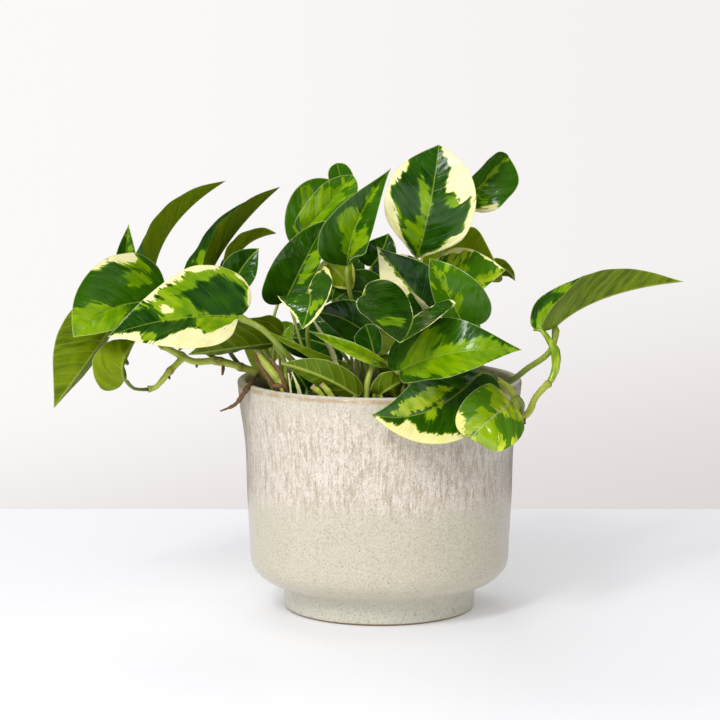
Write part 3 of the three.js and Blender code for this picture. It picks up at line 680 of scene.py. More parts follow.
# A leaf has the base, middle and tip of its midrib, where its upper face looks (faceTip: by the tip), and
# the widths of its two halves. fold and curl turn each half up in degrees, at the midrib and further out;
# lobe, wide and full shape its margin. Lime and cream patches are outlines in shares of the leaf's length
# and of the half's width. What a leaf leaves out is in leafHabit.
leaves = {
    "far_left_hanging": {
        "base": (-144, 4, 170), "mid": (-161, -6, 145), "tip": (-183, -10, 115),
        "face": (-0.7, 0.6, 0.3), "half": (26, 24), "fold": (27, 27), "curl": (6, 10),
        "full": (0.3, 0.3),
        "stalk": [(-139, 3, 169), (-134, -4, 163)], "joins": "left_vine",
        "slot": "olive_underside", "under": 0.2, "blotch": 0.5, "tone": 0.4,
        "lime": [
            [(0.6, 0.4), (0.36, 0.16), (0.64, 0.24), (0.66, 0.28)],
        ],
    },
    "left_shield": {
        "base": (-123, -6, 174), "mid": (-147, -24, 173), "tip": (-169, -32, 158),
        "face": (0.2, -0.7, 0.7), "half": (29, 28), "fold": (30, 30), "full": (0.6, 0.6),
        "stalk": [(-120, -10, 166), (-121, -16, 151)], "joins": "left_vine",
        "slot": "dark_green_leaf", "tone": 0.5, "quilt": 0.8, "gloss": 0.4,
        "lime": [
            [(0.56, -0.8), (0.42, -0.88), (0.08, -0.56), (0.26, -1.06), (0.44, -1.06)],
            [(0.4, -0.6), (0.34, -0.64), (0.16, -0.56), (0.08, -0.44), (0.24, -0.28), (0.32, -0.36),
             (0.32, -0.44)],
            [(0.8, -0.38), (0.68, -0.32), (0.6, -0.12), (0.52, 0), (0.42, 0.04), (0.36, -0.02),
             (0.62, 0.76), (0.78, 0.92), (1.1, -0.02), (0.92, -0.48)],
        ],
        "cream": [
            [(0.56, -0.84), (0.4, -0.88), (0.24, -0.76), (0.2, -0.96), (0.34, -1.14), (0.48, -1.12)],
        ],
    },
    "left_cream": {
        "base": (-77, -38, 170), "mid": (-113, -50, 170), "tip": (-148, -54, 161),
        "face": (0.1, -0.8, 0.6), "half": (28, 28), "fold": (24, 24), "lobe": (-0.06, 0.1),
        "wide": (0.42, 0.26), "full": (0.3, -0.1),
        "stalk": [(-64, -46, 164), (-53, -44, 152), (-44, -36, 139), (-37, -32, 100)],
        "slot": "cream_edged_leaf", "tone": 0.12, "warm": 0.1, "stalkRadius": 1.7,
        "lime": [
            [(0.78, -0.44), (0.6, -0.4), (0.56, -0.6), (0.4, -0.76), (0.4, -0.88), (0.2, -1.04),
             (0.18, -1.16), (0.12, -1.14), (-0.06, -0.6), (-0.08, -0.22), (-0.04, -0.16), (-0.04, -0.5),
             (0.14, -0.86), (0.18, -0.74), (0.34, -0.68), (0.32, -0.58), (0.4, -0.5), (0.72, -0.32),
             (0.8, -0.34)],
            [(0.48, -0.48), (0.38, -0.38), (0.32, -0.12), (0.26, -0.04), (0.48, 0.04), (0.6, 0),
             (0.62, -0.08), (0.56, -0.08), (0.64, -0.28), (0.64, -0.4)],
            [(0.36, 0.24), (0.32, 0.04), (0.04, 0), (0.08, 0.22), (0.24, 0.54), (0.32, 0.6)],
            [(0.76, 0.24), (0.68, 0.32), (0.66, 0.44), (0.68, 0.58), (0.76, 0.46)],
        ],
        "cream": [
            [(0.84, -0.32), (0.72, -0.46), (0.6, -0.4), (0.58, -0.64), (0.44, -0.7), (0.46, -0.76),
             (0.4, -0.76), (0.38, -0.86), (0.14, -0.9), (0.2, -1.1), (0.12, -1.18), (0.02, -0.8),
             (-0.06, -0.7), (-0.06, -0.18), (-0.2, -0.32), (-0.16, -0.92), (0.08, -1.4), (0.28, -1.28),
             (0.58, -1.04), (0.84, -0.58), (0.9, -0.28)],
            [(-0.08, -0.12), (0.24, 0.54), (0.32, 0.58), (0.34, 0.4), (0.4, 0.34), (0.66, 0.58),
             (0.72, 0.56), (0.72, 1.1), (0.28, 1.36), (-0.16, 0.28), (-0.16, -0.22)],
            [(0.76, 0.36), (0.76, 0.18), (1, 0), (1, 0.24), (0.78, 0.76)],
            [(0.58, -0.32), (0.52, -0.28), (0.48, -0.2), (0.48, -0.14), (0.56, -0.16)],
        ],
    },
    "left_spike": {
        "base": (-144, 10, 179), "mid": (-143, 8, 199), "tip": (-141, 6, 217),
        "face": (0.1, -1, -0.1), "half": (8, 8), "fold": (35, 35),
        "stalk": [(-139, 14, 173), (-130, 8, 161), (-128, -11, 157)], "joins": "left_vine",
        "slot": "dark_green_leaf", "tone": 0.5,
        "lime": [
            [(0.96, 0.08), (0.68, -0.44), (0.56, -0.34), (0.84, 0.18)],
        ],
    },
    "left_blade": {
        "base": (-129, 14, 180), "mid": (-119, 30, 212), "tip": (-88, 44, 239),
        "face": (-0.8, 0, 0.6), "half": (24, 24), "fold": (28, 28),
        "stalk": [(-119, 16, 166), (-107, 4, 155), (-97, -6, 146), (-89, -12, 142)], "joins": "left_vine",
        "slot": "olive_underside", "under": 1.1,
    },
    "second_blade": {
        "base": (-99, 20, 182), "mid": (-83, 36, 209), "tip": (-57, 52, 235),
        "face": (-0.7, -0.1, 0.7), "half": (21, 24), "fold": (33, 33),
        "stalk": [(-95, 18, 170), (-89, 10, 156), (-85, 3, 146), (-78, -10, 138)], "joins": "left_vine",
        "slot": "dark_green_leaf", "tone": 0.15, "under": 0.7,
        "lime": [
            [(0.16, 0.72), (0.28, 0.76), (0.14, -1.22), (0.22, 0.5), (0, -1.14)],
        ],
    },
    "small_hook": {
        "base": (-86, 24, 188), "mid": (-76, 30, 203), "tip": (-59, 40, 209),
        "face": (-0.7, 0.1, 0.7), "half": (13, 13), "fold": (28, 28),
        "stalk": [(-84, 24, 172), (-75, 16, 150), (-66, 12, 140), (-46, 14, 100)],
        "slot": "olive_underside", "under": 1.1, "tone": 0.5,
    },
    "small_dark": {
        "base": (-82, 12, 183), "mid": (-77, 10, 193), "tip": (-68, 12, 203),
        "face": (0, -1, 0), "half": (11, 10), "fold": (20, 20),
        "stalk": [(-79, 12, 168), (-71, 10, 148), (-63, 8, 139), (-42, 8, 100)],
        "slot": "dark_green_leaf",
    },
    "vine_tip": {
        "base": (-142, -22, 133), "mid": (-142, -26, 144), "tip": (-136, -16, 154),
        "face": (-0.7, 0.7, 0), "half": (14, 16), "fold": (38, 38), "lobe": (0.2, 0.2),
        "stalk": [(-137, -22, 128), (-132, -20, 127), (-129, -19, 127)], "joins": "side_vine",
        "slot": "lime_leaf", "tone": 0.6, "blotch": 0.5,
    },
    "under_olive": {
        "base": (-58, -17, 153), "mid": (-80, -24, 151), "tip": (-106, -31, 148),
        "face": (-0.2, 0.5, 0.8), "half": (24, 20), "fold": (17, 17),
        "stalk": [(-53, -21, 143), (-52, -28, 133), (-51, -32, 100)],
        "slot": "olive_underside", "under": 0.05,
    },
    "rim_olive": {
        "base": (-13, -58, 129), "mid": (-32, -60, 140), "tip": (-54, -52, 146),
        "face": (0.1, 1, -0.1), "half": (10, 7), "fold": (12, 35), "lobe": (0.05, 0),
        "wide": (0.35, 0.4), "full": (0.5, 0.5),
        "stalk": [(-19, -60, 100)],
        "slot": "olive_underside", "under": 0, "stalkRadius": 1,
    },
    "centre_dark": {
        "base": (-53, -5, 175), "mid": (-41, -17, 200), "tip": (-30, -15, 221),
        "face": (-0.2, -1, -0.1), "half": (17, 12), "fold": (30, 34), "lobe": (0.1, -0.05),
        "wide": (0.34, 0.4), "full": (0.75, 0.6),
        "stalk": [(-49, -14, 170), (-46, -16, 160), (-43, -15, 149), (-38, -15, 100)],
        "slot": "dark_green_leaf", "quilt": 0.8, "gloss": 0.7,
        "lime": [
            [(0.28, -0.2), (0.56, -0.08), (0.66, -0.24), (0.72, -0.56), (0.62, -0.76), (0.52, -0.76),
             (0.32, -0.4)],
        ],
    },
    "twisted_edge": {
        "base": (-39, -45, 184), "mid": (-38, -58, 180), "tip": (-42, -62, 166),
        "face": (0, -0.7, 0.7), "half": (17, 18), "fold": (30, -8), "curl": (30, 18),
        "lobe": (0.6, -0.05), "wide": (0.3, 0.3), "full": (0.25, 0.3),
        "stalk": [(-38, -35, 176), (-40, -30, 159), (-39, -26, 150), (-33, -23, 100)],
        "slot": "cream_edged_leaf", "tone": 0.4, "blotch": 0.3, "warm": 0.4, "gloss": 0.4,
        "creamRim": (2.2, 1.5),
        "lime": [
            [(0.6, 0.04), (0.46, 0.14), (0.48, 0.5), (0.56, 0.6), (0.72, 0.12)],
        ],
    },
    "olive_behind": {
        "base": (-30, -8, 198), "mid": (-23, -10, 191), "tip": (-15, -8, 182),
        "face": (0, 1, 0), "half": (9, 10), "full": (0.9, 0.9),
        "stalk": [(-33, 0, 191), (-32, 0, 164), (-28, -4, 100)],
        "slot": "olive_underside", "under": 0.7, "creamRim": (2, 2),
    },
    "back_left": {
        "base": (-43, 18, 207), "mid": (-40, 14, 227), "tip": (-26, 16, 241),
        "face": (0, -1, 0), "half": (11.7, 10.8), "wide": (0.5, 0.5),
        "full": (0.8, 0.8),
        "stalk": [(-50, 14, 190), (-57, 8, 173), (-60, 4, 161), (-57, 2, 145), (-50, 2, 100)],
        "slot": "dark_green_leaf", "tone": 0.9, "blotch": 0.3,
        "lime": [
            [(0.56, 0.58), (0.62, 0.76), (0.72, 0.54), (0.72, 0.22), (0.64, 0.02), (0.48, 0.08),
             (0.42, 0.32)],
        ],
    },
    "cone": {
        "base": (-44, 4, 212), "mid": (-31, -4, 226), "tip": (-15, 3, 245),
        "face": (-0.2, -1, 0.1), "half": (10.5, 17), "fold": (22, 42), "lobe": (0, 0),
        "wide": (0.5, 0.55), "full": (1, 1),
        "stalk": [(-38, 6, 196), (-32, 8, 174), (-30, 8, 151), (-26, 9, 100)],
        "slot": "lime_leaf", "tone": 1, "blotch": 0.45,
        "lime": [
            [(0.22, 0.7), (0.44, 1.04), (0.64, 0.64), (0.8, 0.08), (0.7, -0.46), (0.48, -0.28),
             (0.28, -0.4), (0.04, 0.04)],
        ],
    },
    "lime_patch": {
        "base": (-18, -24, 196), "mid": (-12, -38, 223), "tip": (6, -32, 251),
        "face": (-0.2, -1, 0), "half": (20, 15), "fold": (38, 38), "lobe": (-0.06, -0.18),
        "full": (-0.5, 0.1),
        "stalk": [(-18, -23, 190), (-15, -14, 171), (-13, -11, 151), (-12, -10, 100)],
        "slot": "dark_green_leaf", "tone": 0.4,
        "lime": [
            [(0.46, 0.7), (0.56, 0.48), (0.58, 0.32), (0.52, -0.12), (0.08, -0.08), (0.2, 0.28),
             (0.32, 0.28)],
            [(0.46, -0.34), (0.52, -0.4), (0.4, -0.86), (0.22, -0.28), (0.08, -0.08), (0.28, -0.08)],
            [(0.66, 0.14), (0.76, 0.12), (0.8, -0.08), (0.72, -0.14), (0.56, -0.02)],
        ],
    },
    "grey_back": {
        "base": (-5, 8, 193), "mid": (1, 2, 202), "tip": (5, 6, 212),
        "face": (-0.2, -1, 0), "half": (11, 11),
        "stalk": [(-8, 10, 174), (-10, 12, 151), (-8, 14, 100)],
        "slot": "dark_green_leaf", "tone": 0.1,
    },
    "big_cream_top": {
        "base": (20, -22, 200), "mid": (27, -40, 231), "tip": (32, -34, 264),
        "face": (-0.1, -1, -0.2), "half": (25, 25), "fold": (8, 8), "lobe": (-0.16, -0.16),
        "wide": (0.55, 0.55), "full": (0.9, 0.9),
        "stalk": [(21, -18, 193), (23, -8, 176), (20, -2, 152), (20, -2, 100)],
        "slot": "cream_edged_leaf", "tone": 0.18,
        "lime": [
            [(0.56, -0.24), (0.62, -0.32), (0.64, -0.56), (0.6, -0.72), (0.56, -0.64)],
            [(0.72, 0.32), (0.72, 0.22), (0.56, -0.04), (0.28, 0.04), (0.04, -0.04), (0.2, 0.28),
             (0.24, 0.44), (0.38, 0.4), (0.36, 0.24), (0.42, 0.28), (0.46, 0.14)],
            [(0.6, 0.96), (0.46, 0.64), (0.42, 0.64), (0.24, 0.44), (0.28, 0.64), (0.42, 0.84)],
        ],
        "cream": [
            [(1, -0.04), (0.8, -0.32), (0.66, -0.28), (0.64, -0.5), (0.58, -0.68), (0.64, -0.8),
             (0.66, -1.28), (0.84, -1.02), (1.02, -0.46), (1.08, -0.04)],
            [(0.64, -0.86), (0.4, -0.84), (0.14, -0.24), (0, -0.08), (-0.14, -0.12), (0.08, -0.7),
             (0.4, -1.36), (0.66, -1.28)],
            [(0.84, 0.58), (0.76, 0.64), (0.6, 0.92), (0.24, 0.46), (0.04, 0.08), (-0.02, 0.28),
             (0.28, 0.96), (0.6, 1.28), (0.88, 0.92)],
        ],
    },
    "right_top": {
        "base": (44, -3, 229), "mid": (57, -9, 241), "tip": (71, -2, 257),
        "face": (0.3, -0.9, -0.2), "half": (16, 17), "fold": (38, 38), "lobe": (-0.1, -0.1),
        "wide": (0.6, 0.6), "full": (0.9, 0.9),
        "stalk": [(37, 0, 209), (31, 2, 186), (24, 6, 157), (21, 11, 100)],
        "slot": "dark_green_leaf", "tone": 0.5,
        "lime": [
            [(0.24, -0.18), (0.56, 0.24), (1, -0.12), (0.64, -0.04)],
            [(0.22, -0.32), (0.34, -0.34), (0.46, -0.58), (0.2, -0.46)],
        ],
        "cream": [
            [(0.4, 1.58), (0.48, 1.14), (0.6, 1.06), (0.6, 1.6)],
            [(0.16, -0.4), (0.4, -0.86), (0.32, -1), (0.08, -0.64)],
        ],
    },
    "back_cream_edge": {
        "base": (29, 22, 185), "mid": (47, 16, 191), "tip": (66, 6, 195),
        "face": (0.2, 0.8, 0.6), "half": (22, 24), "fold": (20, 20), "wide": (0.75, 0.75),
        "full": (1, 1),
        "stalk": [(26, 26, 172), (21, 27, 149), (15, 28, 100)],
        "slot": "olive_underside", "tone": 0.7, "under": 0.8, "blotch": 0.4, "warm": 0.3,
        "creamRim": (1.4, 1.4),
    },
    "right_mid": {
        "base": (34, -13, 175), "mid": (52, -25, 187), "tip": (69, -32, 195),
        "face": (-0.6, -0.6, 0.5), "half": (24, 21), "fold": (27, 27), "full": (0.6, 0.6),
        "stalk": [(32, -9, 162), (28, -8, 148), (31, -8, 100)],
        "slot": "lime_leaf", "tone": 1, "blotch": 0.5, "creamRim": (2.4, 0), "warm": 0.5,
        "lime": [
            [(0.32, 0.54), (0.56, 0.5), (0.56, 0.36), (0.38, 0.16)],
            [(0.56, 0.08), (0.72, 0.14), (1, 0), (0.96, -0.24), (0.6, -0.14), (0.46, 0)],
        ],
    },
    "hook_tip": {
        "base": (61, 28, 190), "mid": (71, 24, 190), "tip": (77, 16, 184),
        "face": (0.6, 0.7, 0.2), "half": (6, 5), "fold": (20, 20),
        "stalk": [(44, 36, 177), (36, 33, 154), (34, 28, 100)],
        "slot": "olive_underside", "under": 0.3,
    },
    "right_pair": {
        "base": (45, -40, 167), "mid": (36, -44, 185), "tip": (27, -36, 202),
        "face": (0.2, -1, 0.2), "half": (14, 20), "fold": (38, 34), "lobe": (0.08, 0.12),
        "wide": (0.34, 0.24), "full": (0.3, 0.3),
        "stalk": [(46, -36, 160), (43, -32, 150), (42, -28, 100)],
        "slot": "dark_green_leaf", "tone": 1, "blotch": 0.35,
        "lime": [
            [(0.92, 0.08), (0.76, -0.12), (0.36, -0.04), (0.56, 0.24)],
            [(0.4, -0.14), (0.42, -0.32), (0.32, -0.28), (0.2, -0.12), (0.16, 0.12)],
        ],
    },
    "centre_cup": {
        "base": (18, -56, 172), "mid": (15, -74, 166), "tip": (10, -96, 163),
        "face": (-0.3, -0.8, 0.6), "half": (30, 32), "fold": (22, 38), "lobe": (0, 0.62),
        "wide": (0.4, 0.36), "full": (1.1, 1),
        "stalk": [(17, -44, 163), (14, -38, 150), (12, -33, 100)],
        "slot": "dark_green_leaf", "tone": 0.15, "creamRim": (1.8, 0.5),
        "lime": [
            [(0.6, -0.54), (0.32, -0.38), (0.18, -0.16), (0.26, -0.12), (0.44, -0.18), (0.52, -0.32),
             (0.72, -0.44)],
        ],
    },
    "cream_spike": {
        "base": (27, -27, 172), "mid": (13, -29, 189), "tip": (-2, -29, 208),
        "face": (0.1, -1, 0), "half": (17, 17), "fold": (12, 12), "full": (0, 0),
        "stalk": [(27, -23, 161), (25, -20, 149), (24, -19, 100)],
        "slot": "cream_edged_leaf", "tone": 0,
        "cream": [
            [(0.34, 0.06), (1.06, 0.02), (1.06, 1.3), (0.3, 1.3), (0.28, 0.6)],
        ],
    },
    "big_right_lime": {
        "base": (10, -62, 143), "mid": (38, -85, 156), "tip": (75, -86, 158),
        "face": (-0.4, -0.7, 0.6), "half": (22, 18), "lobe": (0.16, -0.06),
        "wide": (0.36, 0.45), "full": (0.2, 0.3),
        "stalk": [(4, -62, 139), (-1, -59, 135), (-3, -56, 128), (-4, -54, 100)],
        "slot": "lime_leaf", "tone": 0.35, "blotch": 0.1, "gloss": 0.1,
        "lime": [
            [(0, 0.08), (0.28, 0.74), (0.38, 0.76), (0.44, 0.76), (0.4, 0.58), (0.46, 0.5), (0.36, 0.2),
             (0.78, 0.32), (0.96, -0.08), (0.76, -0.56), (0.72, -0.84), (0.58, -0.88), (0.52, -1),
             (0.4, -0.8), (0.36, -0.84), (0.1, -0.28)],
        ],
    },
    "rim_front_cream": {
        "base": (53, -58, 141), "mid": (25, -80, 124), "tip": (-5, -91, 124),
        "face": (0.4, -0.9, 0.3), "half": (22, 22), "fold": (18, 18), "wide": (0.4, 0.4),
        "full": (0.5, 0.5),
        "stalk": [(58, -52, 141), (64, -40, 134)], "joins": "right_vine",
        "slot": "cream_edged_leaf", "quilt": 0.55, "warm": 0.5, "gloss": 0.5,
        "lime": [
            [(0.84, -0.12), (0.76, -0.38), (0.48, -0.56), (0.24, -0.2), (0.78, -0.04)],
            [(0.6, 0.22), (0.56, 0.02), (0.32, -0.18), (0.52, 0.2), (0.6, 0.32)],
        ],
        "cream": [
            [(0.96, 0.02), (0.82, 0.2), (0.72, 0.12), (0.68, 0.24), (0.68, 0.44), (0.48, 0.8),
             (0.36, 0.9), (0.28, 1.18), (0.44, 1.56), (0.72, 1.32), (0.96, 0.92)],
        ],
    },
    "rim_right_lime": {
        "base": (71, -62, 126), "mid": (58, -84, 120), "tip": (48, -84, 110),
        "face": (0.4, -0.8, 0.5), "half": (18.5, 17.5), "fold": (8, 10), "lobe": (-0.03, -0.04),
        "wide": (0.62, 0.62), "full": (1.5, 1.6),
        "stalk": [(74, -63, 129), (77, -60, 125), (77, -50, 118)], "joins": "right_vine",
        "slot": "lime_leaf", "tone": 1, "blotch": 0.35, "quilt": 0.7, "warm": 1, "gloss": 0.9,
        "lime": [
            [(0, 0.04), (0.42, 0.04), (0.5, -0.3), (0.34, -0.6), (0.46, -1.3), (-0.16, -1.2)],
            [(0.52, 0.02), (1.04, -0.04), (0.92, -0.42), (0.62, -0.5)],
            [(0.04, -0.02), (0.3, -0.02), (0.42, 0.3), (0.12, 0.7), (-0.08, 0.6)],
            [(0.52, -0.02), (1.04, -0.02), (1, 0.5), (0.84, 0.96), (0.7, 0.9), (0.68, 0.4)],
        ],
        "cream": [
            [(0.84, -0.5), (0.98, -0.28), (1.06, -0.5), (0.96, -1.2), (0.76, -1.2)],
        ],
    },
    "long_right": {
        "base": (97, -20, 162), "mid": (126, -14, 178), "tip": (170, -6, 186),
        "face": (-0.3, 0.1, 0.9), "faceTip": (-0.4, 0.5, 0.8), "half": (22, 23), "fold": (55, 33),
        "lobe": (0.12, 0.1), "full": (0.1, 0),
        "stalk": [(97, -22, 155), (95, -24, 150), (91, -26, 146), (82, -32, 141), (71, -38, 134),
                  (65, -40, 134)],
        "joins": "right_vine",
        "slot": "olive_underside", "tone": 0.35, "under": 0.12, "blotch": 0.5, "stalkRadius": 1.7,
    },
    "strip_leaf": {
        "base": (-20, -33, 144), "mid": (-41, -39, 153), "tip": (-64, -37, 163),
        "face": (-0.4, -0.2, -0.9), "half": (12, 10), "fold": (30, 30),
        "stalk": [(-15, -31, 138), (-16, -26, 100)],
        "slot": "olive_underside", "under": 0.4,
    },
    "inner_dark": {
        "base": (-9, -22, 160), "mid": (-22, -26, 168), "tip": (-36, -28, 171),
        "face": (0.3, -0.9, 0.3), "half": (12, 12), "fold": (20, 20),
        "stalk": [(-8, -20, 149), (-6, -20, 100)],
        "slot": "dark_green_leaf", "tone": 0.1,
    },
    "inner_mid": {
        "base": (-2, 3, 173), "mid": (-14, -1, 180), "tip": (-27, -5, 174),
        "face": (0.3, -0.9, 0.3), "half": (13, 13),
        "stalk": [(-1, 7, 157), (2, 2, 100)],
        "slot": "dark_green_leaf", "tone": 0.4,
    },
    "rolled_glossy": {
        "base": (-2, -52, 147), "mid": (-20, -56, 156), "tip": (-39, -52, 164),
        "face": (0.1, -1, 0.2), "half": (5.6, 5.8), "fold": (50, 50), "lobe": (0.1, 0.1),
        "full": (0.3, 0.3),
        "stalk": [(-4, -49, 144), (-7, -52, 135), (-8, -54, 100)],
        "slot": "lime_leaf", "tone": 1, "blotch": 0.6, "quilt": 0.9, "warm": 0.3, "gloss": 1,
        "stalkRadius": 1.8,
        "lime": [
            [(0.92, 0.54), (0.36, -1.28), (0.08, -0.58), (0.08, 0.46), (0.76, 1.46)],
        ],
    },
    "low_dark": {
        "base": (-40, -38, 129), "mid": (-43, -40, 135), "tip": (-48, -40, 141),
        "face": (0.2, -1, -0.1), "half": (9, 9),
        "stalk": [(-38, -42, 100)],
        "slot": "dark_green_leaf", "tone": 0.1,
    },
    "under_lime": {
        "base": (10, -42, 138), "mid": (5, -44, 144), "tip": (-2, -44, 149),
        "face": (-0.2, 1, 0), "half": (8, 8), "fold": (20, 20),
        "stalk": [(12, -45, 134), (19, -47, 100)],
        "slot": "olive_underside", "under": 0.15,
    },
    "low_right": {
        "base": (0, -67, 131), "mid": (7, -69, 136), "tip": (13, -58, 137),
        "face": (-0.5, 0.8, -0.1), "half": (9, 9),
        "stalk": [(1, -66, 100)],
        "slot": "olive_underside", "under": 0.12,
    },
    "round_pale": {
        "base": (-59, 14, 151), "mid": (-54, 13, 156), "tip": (-49, 14, 160),
        "face": (0, -1, 0.1), "half": (6, 7), "fold": (10, 10), "full": (1, 1),
        "stalk": [(-60, 18, 143), (-60, 22, 100)],
        "slot": "lime_leaf", "tone": 1, "blotch": 0.8,
    },
    "ear": {
        "base": (-16, 12, 231), "mid": (-21, 10, 241), "tip": (-24, 14, 251),
        "face": (0, -1, 0.1), "half": (8.5, 8.5), "fold": (35, 35), "lobe": (-0.05, -0.05),
        "wide": (0.55, 0.55), "full": (1, 1),
        "stalk": [(-14, 16, 221), (-16, 18, 195), (-16, 20, 150), (-15, 24, 100)],
        "slot": "dark_green_leaf", "tone": 0.7, "under": 0.6,
    },
    "inner_low": {
        "base": (-21, -4, 146), "mid": (-36, -4, 152), "tip": (-50, -3, 154),
        "face": (0, -1, 0.3), "half": (14, 13), "fold": (18, 18), "full": (0.6, 0.6),
        "stalk": [(-17, -4, 139), (-21, -3, 100)],
        "slot": "dark_green_leaf", "tone": 0.05,
    },
    "glossy_lobe": {
        "base": (-3, -46, 149), "mid": (-5, -45, 158), "tip": (-8, -41, 166),
        "face": (-0.2, -1, 0.2), "half": (9, 8), "fold": (25, 30), "lobe": (-0.05, -0.05),
        "wide": (0.55, 0.55), "full": (1, 1),
        "stalk": [(-1, -45, 140), (-2, -46, 100)],
        "slot": "dark_green_leaf", "tone": 0.15, "blotch": 0.2, "quilt": 0.6,
    },
    "rear_left_drape": {
        "base": (-41, 57, 149), "mid": (-58, 86, 146), "tip": (-72, 108, 113),
        "face": (-0.3, 0.5, 0.8), "half": (25, 25), "fold": (12, 12),
        "stalk": [(-38, 49, 127), (-34, 44, 100)],
        "slot": "dark_green_leaf", "blotch": 0.35, "creamRim": (0, 3),
    },
    "rear_mid_drape": {
        "base": (-7, 66, 150), "mid": (-6, 96, 148), "tip": (-3, 124, 114),
        "face": (0, 0.5, 0.9), "half": (22, 22), "fold": (12, 12),
        "stalk": [(-7, 56, 128), (-6, 50, 100)],
        "slot": "dark_green_leaf", "tone": 0.2, "blotch": 0.3,
    },
    "rear_right_drape": {
        "base": (29, 58, 150), "mid": (41, 86, 149), "tip": (50, 110, 118),
        "face": (0.3, 0.5, 0.8), "half": (20, 21), "fold": (12, 12),
        "stalk": [(29, 51, 128), (28, 46, 100)],
        "slot": "dark_green_leaf", "tone": 0.35, "blotch": 0.4, "creamRim": (4, 0),
    },
    "rear_upper_left": {
        "base": (-26, 42, 172), "mid": (-34, 64, 186), "tip": (-42, 96, 178),
        "face": (-0.2, -0.1, 1), "half": (24, 24), "fold": (18, 18),
        "stalk": [(-23, 37, 140), (-20, 34, 100)],
        "slot": "dark_green_leaf", "tone": 0.2, "blotch": 0.38,
    },
    "rear_upper_right": {
        "base": (20, 44, 170), "mid": (32, 66, 182), "tip": (42, 98, 172),
        "face": (0.2, -0.1, 1), "half": (24, 24), "fold": (18, 18),
        "stalk": [(16, 39, 138), (12, 36, 100)],
        "slot": "dark_green_leaf", "tone": 0.4, "blotch": 0.3, "creamRim": (3, 3),
    },
    "rear_left_high": {
        "base": (-66, 33, 145), "mid": (-93, 47, 150), "tip": (-118, 61, 137),
        "face": (-0.2, 0.1, 1), "half": (22, 22),
        "stalk": [(-57, 30, 125), (-46, 28, 100)],
        "slot": "dark_green_leaf", "blotch": 0.42,
    },
    "rear_right_low": {
        "base": (42, 36, 140), "mid": (50, 62, 138), "tip": (52, 88, 112),
        "face": (0.4, 0.3, 0.9), "half": (15, 15),
        "stalk": [(44, 29, 122), (46, 24, 100)],
        "slot": "dark_green_leaf", "tone": 0.5, "blotch": 0.3,
    },
}


# what all the leaves share
leafShape = {
    "rows": 56, "columns": 15, "rowCrowding": 0.35, "crowding": 1.3, "thickness": 0.46,
    "groove": 0.32, "grooveWidth": 0.9, "rib": 0.5, "ribWidth": 0.8,
    "ribSteps": 100, "flattestCurl": 0.1, "veinGap": 7.5, "veinSlant": 0.55, "veinSweep": 0.42,
    "waves": 1.6, "waveShift": 0.23, "ripple": 0.35, "rippleTurns": (3.1, 5.3),
    "rimSharpness": 3.2, "patchReach": 30, "firstSeed": 11, "seedStep": 7,
}
# what a leaf has unless its own dictionary says otherwise
leafHabit = {
    "fold": (15, 15), "curl": (0, 0), "lobe": (0.08, 0.08), "wide": (0.34, 0.34), "full": (0.4, 0.4),
    "quilt": 0.42, "pucker": 0.34, "tone": 0.3, "blotch": 0, "under": 0.5, "warm": 0, "gloss": 0,
    "creamRim": (0, 0), "lime": [], "cream": [],
}
stalkShape = {
    "radius": 1.3, "slim": 0.9, "smallHalf": 15, "sides": 9, "step": 2.4, "begins": 1.2,
    "swell": 0.35, "swellPlace": 3.2, "swellWidth": 2.6, "footSwell": 0.8, "footWidth": 3,
    "neck": 0.45, "neckLength": 2.5,
}


# One side's margin, as shares of the leaf's length and half width.
def marginCurve(share, lobe, wide, full):
    low = bezier([(0, 0), (-1.5 * lobe - 0.01, 0.25), (-1.3 * lobe, 1), (wide, 1)],
                 np.clip(2 * share, 0, 1))
    shoulder = (wide + (0.30 + 0.32 * full) * (1 - wide), 1)
    high = bezier([(wide, 1), shoulder, (0.80 + 0.13 * full, 0.24 + 0.12 * full), (1, 0)],
                  np.clip(2 * share - 1, 0, 1))
    return np.where((share < 0.5)[:, None], low, high)


# The bend through a leaf's base, middle and tip.
class Midrib:
    def __init__(self, leaf):
        base, mid, tip = [np.array(leaf[key], float) for key in ("base", "mid", "tip")]
        bend = 2 * mid - 0.5 * (base + tip)
        t = np.linspace(0, 1, leafShape["ribSteps"] + 1)[:, None]
        self.line = (1 - t) ** 2 * base + 2 * (1 - t) * t * bend + t * t * tip
        self.slope = unit(2 * (1 - t) * (bend - base) + 2 * t * (tip - bend))
        self.run = pathLengths(self.line)
        self.length = self.run[-1]
        self.face = unit(np.array(leaf["face"], float))
        self.tipFace = unit(np.array(leaf.get("faceTip", leaf["face"]), float))

    # the rib's place, its direction and where the face looks, at shares of its length
    def at(self, share):
        held = np.clip(share, 0, 1)
        spot, slope = [np.stack([np.interp(held * self.length, self.run, line[:, k]) for k in range(3)], -1)
                       for line in (self.line, self.slope)]
        slope = unit(slope)
        spot = spot + slope * ((share - held) * self.length)[..., None]
        face = self.face * (1 - held[..., None]) + self.tipFace * held[..., None]
        face = unit(face - (face * slope).sum(-1, keepdims=True) * slope)
        return spot, slope, face


